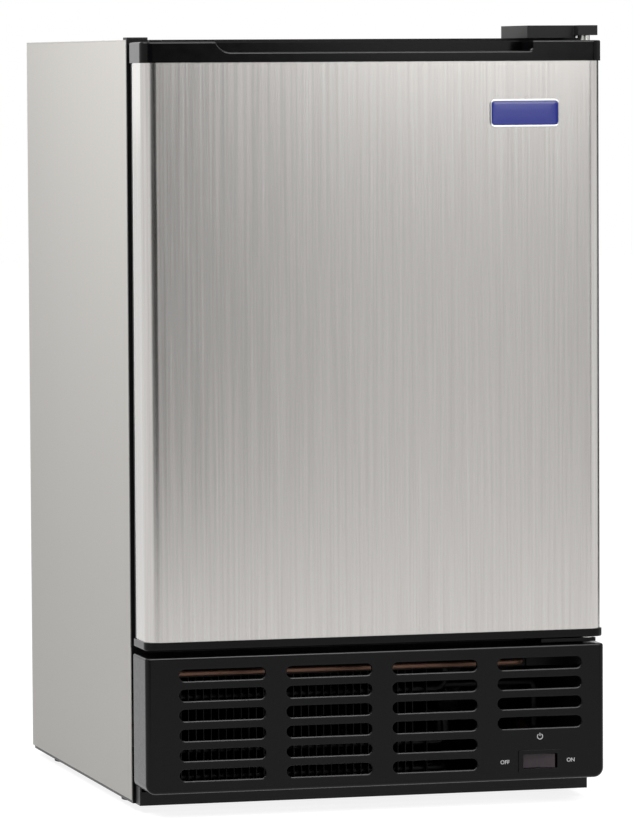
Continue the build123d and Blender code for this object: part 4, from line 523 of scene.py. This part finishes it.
# Solids whose edges are rounded, with the width of the rounding in millimetres
ROUNDED = {
    CABINET_PAINT: {"top_panel": 0.4},
    # Side panels: paint outside, with dark primer and painted shade on their inner faces
    PANEL_PAINT_AND_SHADE: {"left_side_panel": 0.4, "right_side_panel": 0.4},
    GALVANISED: {"back_panel": 0.3, "rear_cover": 0.3},
    BLACK_STEEL: {"base_pan": 0.4, "deck_panel": 0.3, "lower_hinge_bracket": 0.6},
    ZINC: {"upper_hinge_bracket": 0.6, "screws": 0.6},
    GLOSS_BLACK: {"hinge_hole_plug": 0.5},
    SATIN_BLACK: {"switch_body": 0.5},
    MATT_BLACK: {
        "hinge_cover": 0.6, "hinge_blank_plate": 0.4, "relay_box": 0.8, "fan_shroud": 0.5, "cord_gland": 0.5,
    },
    WHITE_PLASTIC: {
        "inner_liner": 0.8, "door_liner": 0.8, "module_head": 1.0, "module_cover": 0.8, "junction_box": 0.8,
    },
    NYLON: {"stripper": 0.4, "fill_cup": 0.5},
    GASKET: {"door_retainer": 0.5},
    RUBBER: {"foot_front_left": 0.8, "foot_front_right": 0.8, "foot_back_left": 0.8, "foot_back_right": 0.8},
    CAST_ALUMINIUM: {"ice_mould": 0.8},
    MOTOR_PAINT: {"water_valve": 0.6},
    BIN_PLASTIC: {"ice_bin": 0.9},
    ROCKER_PLASTIC: {"rocker": 0.7},
}
for finish, nodes in ROUNDED.items():
    for name, width in nodes.items():
        softened(name, width * MM, finish)


# Door


def middle(node):
    """Middle of a solid's box."""
    low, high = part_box(node)
    return (low + high) / 2


def pin_place():
    """Middle of the hinge pins, which stand on one upright line."""
    return middle("hinge_pins")


def door_outline(half, front, back, corner):
    """Plan of the door's front and sides: points and outward normals from back left to back right."""
    left = arc(corner, 180.0, 270.0, CORNER_STEPS)
    right = arc(corner, 270.0, 360.0, CORNER_STEPS)
    side = np.linspace(back, front + corner, SIDE_STEPS + 1)[:-1]
    across = np.linspace(-half + corner, half - corner, ACROSS_STEPS + 2)[1:-1]
    points = np.concatenate([
        np.stack([np.full(SIDE_STEPS, -half), side], axis=1),
        left + (-half + corner, front + corner),
        np.stack([across, np.full(ACROSS_STEPS, front)], axis=1),
        right + (half - corner, front + corner),
        np.stack([np.full(SIDE_STEPS, half), side[::-1]], axis=1),
    ])
    normals = np.concatenate([
        np.tile((-1.0, 0.0), (SIDE_STEPS, 1)), left / corner, np.tile((0.0, -1.0), (ACROSS_STEPS, 1)),
        right / corner, np.tile((1.0, 0.0), (SIDE_STEPS, 1)),
    ])
    return points, normals


def door_skin():
    """Sheet wrapped round the door: a thin upright wall carried along the plan, tucked between the trims."""
    low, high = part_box("door_skin")
    points, normals = door_outline(high.x, low.y, high.y, SKIN_CORNER)
    inset = np.array([0.0, 0.0, WALL, WALL])
    level = np.array([low.z, high.z, high.z, low.z])
    plan = points[:, None, :] - normals[:, None, :] * inset[None, :, None]
    rise = np.broadcast_to(level, plan.shape[:2])
    wall = np.concatenate([plan, rise[..., None]], axis=2)
    mesh = grid_mesh("door_skin_sheet", wall, wrap_v=True, caps=True)
    run = np.concatenate([[0.0], np.cumsum(np.linalg.norm(np.diff(points, axis=0), axis=1))])
    place = np.empty(len(mesh.vertices) * 3)
    mesh.vertices.foreach_get("co", place)
    place = place.reshape(-1, 3)
    nearest = np.argmin(np.linalg.norm(place[:, None, :2] - points[None], axis=2), axis=1)
    corner = np.empty(len(mesh.loops), dtype=np.int32)
    mesh.loops.foreach_get("vertex_index", corner)
    sheet = np.stack([run[nearest], place[:, 2]], axis=1)[corner]
    mesh.uv_layers.new(name="sheet").data.foreach_set("uv", sheet.ravel())
    return put_piece("door_skin_sheet", mesh, "door", STAINLESS, ("door_skin",))


def lip_level(x, left, right, floor, top):
    """Height of the pocket's front lip along X: a big arc at the left end and a small one at the right."""
    near = np.clip(left + POCKET_LEFT_RADIUS - x, 0.0, POCKET_LEFT_RADIUS)
    far = np.clip(x - right + POCKET_RIGHT_RADIUS, 0.0, POCKET_RIGHT_RADIUS)
    rise = POCKET_LEFT_RADIUS - np.sqrt(POCKET_LEFT_RADIUS ** 2 - near ** 2)
    rise += POCKET_RIGHT_RADIUS - np.sqrt(POCKET_RIGHT_RADIUS ** 2 - far ** 2)
    return np.minimum(floor + rise, top)


def end_falls(x, half, edge):
    """How far a trim's outer edge drops near its ends, as a quarter round."""
    over = np.clip(np.abs(x) - (half - edge), 0.0, edge)
    return edge - np.sqrt(edge ** 2 - over ** 2)


def front_line(x, half, front, corner):
    """Y of a trim's front along X, with the plan's rounded corners."""
    over = np.clip(np.abs(x) - (half - corner), 0.0, corner)
    return front + corner - np.sqrt(corner ** 2 - over ** 2)


def end_stations(half, corner):
    """X places that crowd towards the two rounded ends."""
    turn = (half - corner) + corner * np.sin(np.radians(np.linspace(0.0, 90.0, 19)))
    return np.concatenate([-turn[::-1], turn])


def top_trim():
    """Moulded top trim with its pocket handle: a closed section in Y and Z, different at each X."""
    low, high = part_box("door_top_trim")
    half, front, back, top = high.x, low.y, high.y, high.z
    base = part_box("door_skin")[1].z
    pocket = half - POCKET_FROM_END
    tub = pocket + POCKET_WALL
    floor = top - POCKET_DEPTH
    lip = top - POCKET_LIP_DROP
    inner_y, outer_y = back - POCKET_TO_BACK, front + POCKET_LIP
    bend = np.radians(np.linspace(0.0, 90.0, 25))
    scoop = np.concatenate([
        -pocket + POCKET_LEFT_RADIUS * (1 - np.cos(bend)),
        np.linspace(-POCKET_MIDDLE_MM, POCKET_MIDDLE_MM, 21) * MM,
        pocket - POCKET_RIGHT_RADIUS * (1 - np.sin(bend)),
    ])
    x = np.concatenate([end_stations(half, TRIM_CORNER), [-tub, tub, -pocket, pocket], scoop])
    keys = np.concatenate([np.full(len(x) - len(scoop) - 4, 0), [0, 0, 1, 1], np.full(len(scoop), 2)])
    x = np.concatenate([x, [-tub, tub]])
    keys = np.concatenate([keys, [1, 1]])
    order = np.lexsort((np.where(x < 0, keys, -keys), np.round(x, 7)))
    x, keys = x[order], keys[order]
    in_tub, in_pocket = keys >= 1, keys == 2
    y_front = front_line(x, half, front, TRIM_CORNER)
    crest = top - end_falls(x, half, TRIM_EDGE)
    lip_top = np.where(in_pocket, lip_level(x, -pocket, pocket, lip, top), crest)
    edge = np.minimum(TRIM_EDGE, lip_top - base)
    count = len(x)
    section = []

    def corner_point(y, z):
        section.append(np.stack([x, np.broadcast_to(y, count), np.broadcast_to(z, count)], axis=1))

    corner_point(back, base)
    corner_point(back, crest)
    corner_point(np.maximum(inner_y + LIP_INNER_EDGE, y_front + TRIM_EDGE), crest)
    corner_point(np.maximum(inner_y, y_front + TRIM_EDGE), crest - LIP_INNER_EDGE * in_pocket)
    corner_point(np.maximum(inner_y, y_front + TRIM_EDGE), np.where(in_pocket, floor, crest))
    corner_point(np.maximum(outer_y, y_front + TRIM_EDGE), np.where(in_pocket, floor, crest))
    for y, z in arc(LIP_INNER_EDGE, 0.0, 90.0, 5):
        rounded_y = outer_y - LIP_INNER_EDGE + y
        rounded_z = lip_top - (LIP_INNER_EDGE - z) * in_pocket
        corner_point(np.maximum(rounded_y, y_front + TRIM_EDGE), rounded_z)
    for y, z in arc(1.0, 90.0, 180.0, 9):
        corner_point(y_front + edge * (1 + y), lip_top - edge * (1 - z))
    corner_point(y_front, base)
    corner_point(np.maximum(outer_y - POCKET_WALL, y_front), base)
    corner_point(np.maximum(outer_y - POCKET_WALL, y_front), np.where(in_tub, floor - POCKET_WALL, base))
    corner_point(np.maximum(inner_y + POCKET_WALL, y_front), np.where(in_tub, floor - POCKET_WALL, base))
    corner_point(np.maximum(inner_y + POCKET_WALL, y_front), base)
    mesh = grid_mesh("door_top_trim_moulding", np.stack(section, axis=1), wrap_v=True, caps=True)
    pin, plug = pin_place(), middle("hinge_hole_plug")
    mesh = drilled(mesh, [
        (pin.x, pin.y, BUSH_RADIUS, base - WALL, top + WALL),
        (plug.x, plug.y, PLUG_STEM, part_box("hinge_hole_plug")[0].z, top + WALL),
    ])
    return put_piece(
        "door_top_trim_moulding", mesh, "door", GLOSS_BLACK, ("door_top_trim",)
    )


def bottom_trim():
    """Moulded bottom trim: a closed section in Y and Z with a rounded lower front edge, along X."""
    low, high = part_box("door_bottom_trim")
    half, front, back = high.x, low.y, high.y
    even = np.linspace(-TRIM_MIDDLE_MM, TRIM_MIDDLE_MM, 11) * MM
    x = np.sort(np.concatenate([end_stations(half, TRIM_CORNER), even]))
    y_front = front_line(x, half, front, TRIM_CORNER)
    foot = low.z + end_falls(x, half, TRIM_EDGE)
    count = len(x)
    turn = arc(1.0, 180.0, 270.0, 9)
    round_y = [y_front + TRIM_EDGE * (1 + c) for c, _ in turn]
    round_z = [foot + TRIM_EDGE * (1 + s) for _, s in turn]
    y = [np.full(count, back), y_front] + round_y + [np.full(count, back)]
    z = [np.full(count, high.z)] * 2 + round_z + [foot]
    section = np.stack([np.broadcast_to(x, (len(y), count)), np.array(y), np.array(z)], axis=2)
    mesh = grid_mesh("door_bottom_trim_moulding", section.transpose(1, 0, 2), wrap_v=True, caps=True)
    pin = pin_place()
    mesh = drilled(mesh, [(pin.x, pin.y, BUSH_RADIUS, low.z - WALL, high.z + WALL)])
    return put_piece(
        "door_bottom_trim_moulding", mesh, "door", GLOSS_BLACK, ("door_bottom_trim",)
    )


def gasket():
    """Magnetic door seal: a bellows section carried round a rectangle with mitred corners."""
    low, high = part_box("door_gasket")
    depth = high.y - low.y
    across = np.array([4.0, 4.0, 1.5, 0.5, 1.5, 0.0, 0.0, 15.0, 15.0, 13.0, 15.0, 12.0, 12.0]) * MM
    along = np.array([0.0, 0.16, 0.26, 0.36, 0.48, 0.56, 1.0, 1.0, 0.56, 0.46, 0.34, 0.2, 0.0])
    y = low.y + depth * along
    corners = []
    for side_x, side_z in ((-1, -1), (1, -1), (1, 1), (-1, 1)):
        x = side_x * (high.x - across)
        z = np.where(side_z < 0, low.z + across, high.z - across)
        corners.append(np.stack([x, y, z], axis=1))
    mesh = grid_mesh("door_gasket_bellows", np.stack(corners), wrap_u=True, wrap_v=True)
    return put_piece("door_gasket_bellows", mesh, "door", GASKET, ("door_gasket",))


def round_loop(half_x, half_z, radius):
    """Rounded rectangle about the origin, as points of X and Z that go once round."""
    turns = [(1, 1, 0.0), (-1, 1, 90.0), (-1, -1, 180.0), (1, -1, 270.0)]
    return np.concatenate([
        arc(radius, start, start + 90.0, 9) + (side_x * (half_x - radius), side_z * (half_z - radius))
        for side_x, side_z, start in turns
    ])


def badge_rings(profile):
    """Rounded rectangles one inside the other, at each profile point's inset and depth behind the front."""
    low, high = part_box("badge")
    centre = (low + high) / 2
    half_x, half_z = (high.x - low.x) / 2, (high.z - low.z) / 2
    rings = []
    for inset, depth in profile:
        loop = round_loop(half_x - inset, half_z - inset, max(BADGE_RADIUS - inset, MM))
        depths = np.full((len(loop), 1), low.y + depth)
        rings.append(np.concatenate([loop[:, :1] + centre.x, depths, loop[:, 1:] + centre.z], axis=1))
    return np.stack(rings)


def badge():
    """Blank enamelled plate in a bright rim: rounded rectangles that step in and out from back to front.

    Each point of a profile is an inset in millimetres and a depth as a part of the badge's thickness.
    """
    low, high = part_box("badge")
    thick = high.y - low.y
    rim = np.array([
        (0.0, 1.0), (0.0, 0.3), (0.1, 0.1), (0.3, 0.0), (1.0, 0.0), (1.25, 0.12), (1.3, 0.4), (1.3, 1.0),
    ])
    face = np.array([(1.3, 1.0), (1.3, 0.45), (1.5, 0.3), (2.2, 0.22), (4.0, 0.14), (8.0, 0.08)])
    scale = (MM, thick)
    mesh = grid_mesh("badge_rim", badge_rings(rim * scale), wrap_u=True, wrap_v=True)
    put_piece("badge_rim", mesh, "door", CHROME, ("badge",))
    mesh = grid_mesh("badge_enamel_face", badge_rings(face * scale), wrap_v=True, caps=True)
    put_piece("badge_enamel_face", mesh, "door", ENAMEL)


door_skin()
top_trim()
bottom_trim()
gasket()
badge()


# Kick plate and its print


def kick_plate():
    """Kick plate with each slot's front edge rounded, by a funnel of slot outlines taken out of it.

    An outline stands out from the slot by the lip times 1 - sin(turn) at the depth of the lip times
    1 - cos(turn). Both ends of the funnel run clear of the plate, so that its faces cross the plate's.
    """
    low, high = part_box("kick_plate")
    turn = np.radians(np.linspace(*FUNNEL_TURN, FUNNEL_STEPS))
    outset = np.concatenate([FUNNEL_FRONT[:1], 1 - np.sin(turn), FUNNEL_BACK[:1]]) * SLOT_LIP
    depth = np.concatenate([FUNNEL_FRONT[1:], 1 - np.cos(turn), FUNNEL_BACK[1:]]) * SLOT_LIP
    rings = []
    for out, back in zip(outset, depth):
        loop = round_loop(SLOT_LENGTH / 2 + out, SLOT_HEIGHT / 2 + out, SLOT_HEIGHT / 2 + out)
        rings.append(np.stack([loop[:, 0], np.full(len(loop), low.y + back), loop[:, 1]], axis=1))
    funnel = grid_mesh("slot_funnel", np.stack(rings), wrap_v=True, caps=True)
    work = bmesh.new()
    for column, rows in enumerate(SLOT_ROWS):
        x = low.x + SLOT_FROM_LEFT + SLOT_LENGTH / 2 + SLOT_PITCH_X * column
        for row in range(rows):
            place = Matrix.Translation((x, 0.0, high.z - SLOT_BELOW_TOP - SLOT_PITCH_Z * row))
            funnel.transform(place)
            work.from_mesh(funnel)
            funnel.transform(place.inverted())
    funnels = bpy.data.meshes.new("slot_funnels")
    work.to_mesh(funnels)
    work.free()
    mesh = cut_away(merged("kick_plate"), [funnels])
    tidy_normals(mesh, SLIVER)
    smooth(mesh)
    flat_squares(mesh)
    put_piece(mesh.name, mesh, "cabinet", SATIN_BLACK, ("kick_plate",), flatten=False)


kick_plate()


def printed(name, mesh, x, z):
    """Ink standing a hair proud of the kick plate, drawn flat with its up as Y and moved to its place."""
    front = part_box("kick_plate")[0].y
    mesh.transform(Matrix.Translation((x, front, z)) @ Matrix.Rotation(radians(90.0), 4, "X"))
    tidy_normals(mesh)
    put_piece(name, mesh, "cabinet", INK, flatten=False)


def word(name, text, x, z):
    """Short word in plain capitals."""
    curve = bpy.data.curves.new(name, "FONT")
    curve.body = text
    curve.align_x = "CENTER"
    curve.align_y = "CENTER"
    curve.size = LETTER_SIZE
    curve.extrude = INK_THICKNESS
    curve.offset = LETTER_WEIGHT
    holder = bpy.data.objects.new(name, curve)
    bpy.context.scene.collection.objects.link(holder)
    mesh = bpy.data.meshes.new_from_object(holder.evaluated_get(bpy.context.evaluated_depsgraph_get()))
    bpy.data.objects.remove(holder)
    printed(name, mesh, x, z)


def power_mark(name, x, z):
    """Plain power sign: a ring open at its top, and an upright bar in the gap."""
    half = MARK_LINE / 2
    inside = arc(MARK_RADIUS - half, *MARK_OPENING, MARK_STEPS)
    outside = arc(MARK_RADIUS + half, *MARK_OPENING, MARK_STEPS)
    ring = np.stack([inside, outside], axis=1)
    foot, top = MARK_BAR_FOOT * MARK_RADIUS, MARK_BAR_TOP * MARK_RADIUS
    bar = np.array([[(-half, foot), (half, foot)], [(-half, top), (half, top)]])
    for part, shape in (("ring", ring), ("bar", bar)):
        front = np.concatenate([shape, np.full(shape.shape[:2] + (1,), INK_THICKNESS)], axis=2)
        back = np.concatenate([shape[:, ::-1], np.full(shape.shape[:2] + (1,), -INK_THICKNESS)], axis=2)
        mesh = grid_mesh(f"{name}_{part}", np.concatenate([front, back], axis=1), wrap_v=True, caps=True)
        printed(f"{name}_{part}", mesh, x, z)


switch = middle("switch_body")
word("print_off", "OFF", switch.x - OFF_LEFT, switch.z)
word("print_on", "ON", switch.x + ON_RIGHT, switch.z)
power_mark("print_power", switch.x, switch.z + MARK_ABOVE)


# Camera, light and floor


def camera():
    """Camera at the photograph's place, turned by its yaw, its tilt down and its roll."""
    level = cos(CAMERA_DOWN)
    ahead = Vector((sin(CAMERA_YAW) * level, cos(CAMERA_YAW) * level, -sin(CAMERA_DOWN)))
    right = Vector((cos(CAMERA_YAW), -sin(CAMERA_YAW), 0.0))
    down = ahead.cross(right)
    roll_cos, roll_sin = cos(CAMERA_ROLL), sin(CAMERA_ROLL)
    right, down = right * roll_cos + down * roll_sin, down * roll_cos - right * roll_sin
    data = bpy.data.cameras.new("photo_camera")
    data.sensor_fit = "VERTICAL"
    data.sensor_height = SENSOR
    data.lens = FOCAL_PIXELS * SENSOR / IMAGE_HEIGHT
    data.clip_end = CAMERA_REACH
    eye = bpy.data.objects.new("photo_camera", data)
    bpy.context.scene.collection.objects.link(eye)
    eye.matrix_world = Matrix((
        (right.x, -down.x, -ahead.x, CAMERA_PLACE[0]),
        (right.y, -down.y, -ahead.y, CAMERA_PLACE[1]),
        (right.z, -down.z, -ahead.z, CAMERA_PLACE[2]),
        (0.0, 0.0, 0.0, 1.0),
    ))
    bpy.context.scene.camera = eye


def softbox(name, place, aim, size, watts, rays=("diffuse", "glossy"), materials=()):
    """Rectangular studio light aimed at a point.

    It may act on matt or on glossy surfaces alone, and on the pieces of some materials alone.
    """
    data = bpy.data.lights.new(name, "AREA")
    data.shape = "RECTANGLE"
    data.size, data.size_y = size
    data.energy = watts
    lamp = bpy.data.objects.new(name, data)
    bpy.context.scene.collection.objects.link(lamp)
    lamp.location = place
    lamp.rotation_euler = (Vector(aim) - Vector(place)).to_track_quat("-Z", "Y").to_euler()
    lamp.visible_camera = False
    lamp.visible_diffuse = "diffuse" in rays
    lamp.visible_glossy = "glossy" in rays
    if materials:
        lit = bpy.data.collections.new(name)
        lamp.light_linking.receiver_collection = lit
        for piece in bpy.context.scene.objects:
            if piece.type == "MESH" and piece.active_material in materials:
                lit.objects.link(piece)


def flag(name, corners):
    """Black card that only reflections show, for their dark parts."""
    mesh = bpy.data.meshes.new(name)
    mesh.from_pydata(corners, [], [(0, 1, 2, 3)])
    made, _, shader, _ = surface("black_card", Roughness=1.0, Specular_IOR_Level=0.0)
    shader.inputs["Base Color"].default_value = linear("#0a0a0a")
    mesh.materials.append(made)
    card = bpy.data.objects.new(name, mesh)
    bpy.context.scene.collection.objects.link(card)
    for ray in ("camera", "diffuse", "transmission", "shadow"):
        setattr(card, "visible_" + ray, False)


def seen_by(tree, *rays):
    """Socket that is 1 for any of some kinds of ray, and else 0."""
    path = add(tree, "ShaderNodeLightPath")
    found = path.outputs[rays[0]]
    for ray in rays[1:]:
        found = add(tree, "ShaderNodeMath", {0: found, 1: path.outputs[ray]}, operation="MAXIMUM").outputs[0]
    return found


def studio():
    """White world behind the object, dimmer where it only lights it, and a pale floor."""
    world = bpy.data.worlds.new("studio")
    bpy.context.scene.world = world
    world.use_nodes = True
    tree = world.node_tree
    tree.nodes.clear()
    seen = seen_by(tree, "Is Camera Ray", "Is Glossy Ray", "Is Transmission Ray")
    level = add(tree, "ShaderNodeMapRange", {0: seen, 3: WORLD_LIGHT, 4: 1.0}).outputs[0]
    back = add(tree, "ShaderNodeBackground", {"Color": (1.0, 1.0, 1.0, 1.0), "Strength": level})
    add(tree, "ShaderNodeOutputWorld", {0: back.outputs[0]})
    mesh = bpy.data.meshes.new("floor")
    corners = [(x * FLOOR_REACH, y * FLOOR_REACH, 0) for x, y in ((-1, -1), (1, -1), (1, 1), (-1, 1))]
    mesh.from_pydata(corners, [], [(0, 1, 2, 3)])
    floor = bpy.data.objects.new("floor", mesh)
    bpy.context.scene.collection.objects.link(floor)
    made, tree, shader, _ = surface("white_paper_sweep", Roughness=0.9)
    shader.inputs["Base Color"].default_value = linear("#808080")
    seen = seen_by(tree, "Is Camera Ray", "Is Glossy Ray")
    glow = add(tree, "ShaderNodeMath", {0: seen, 1: FLOOR_GLOW}, operation="MULTIPLY").outputs[0]
    shader.inputs["Emission Color"].default_value = (1.0, 1.0, 1.0, 1.0)
    tree.links.new(glow, shader.inputs["Emission Strength"])
    mesh.materials.append(made)


camera()
studio()
softbox("side_left", (-0.85, -0.35, 1.3), (-0.19, 0.02, 0.42), (0.6, 0.6), 14.0)
softbox("front_above", (0.3, -1.7, 2.0), (0.0, -0.2, 0.4), (1.4, 0.7), 14.0)
# Only the black mouldings catch this one, along their rounded edges
softbox(
    "edge_light", (0.2, -1.1, 1.9), (0.0, -0.2, 0.3), (1.6, 1.2), 80.0, rays=("glossy",),
    materials=(GLOSS_BLACK, MATT_BLACK, SATIN_BLACK),
)
softbox("corner_glow", (-1.0, 2.7, 1.0), (-0.19, -0.2, 0.5), (1.2, 1.0), 2.0, rays=("glossy",))
softbox("steel_top_glow", (0.72, -2.5, 0.67), (0.0, -0.2, 0.55), (0.3, 0.24), 0.4, rays=("glossy",))
softbox("side_right", (1.15, 0.1, 1.2), (0.19, 0.05, 0.3), (0.6, 0.6), 12.0, rays=("diffuse",))
softbox("door_right", (0.95, -2.3, 1.0), (0.0, -0.2, 0.45), (0.7, 0.6), 4.0)
flag("card_ahead", [(-2.2, -2.6, 0.0), (0.41, -2.6, 0.0), (0.41, -2.6, 1.0), (-2.2, -2.6, 1.0)])
flag("card_level", [(0.38, -2.6, 0.58), (1.2, -2.6, 0.58), (1.2, -2.6, 0.68), (0.38, -2.6, 0.68)])
flag("card_far_right", [(1.05, -2.4, 0.0), (1.5, -2.4, 0.0), (1.5, -2.4, 0.9), (1.05, -2.4, 0.9)])
flag("card_right", [(1.3, 0.05, 0.0), (1.3, 1.2, 0.0), (1.3, 1.2, 1.0), (1.3, 0.05, 1.0)])
bpy.context.scene.view_settings.view_transform = "Standard"
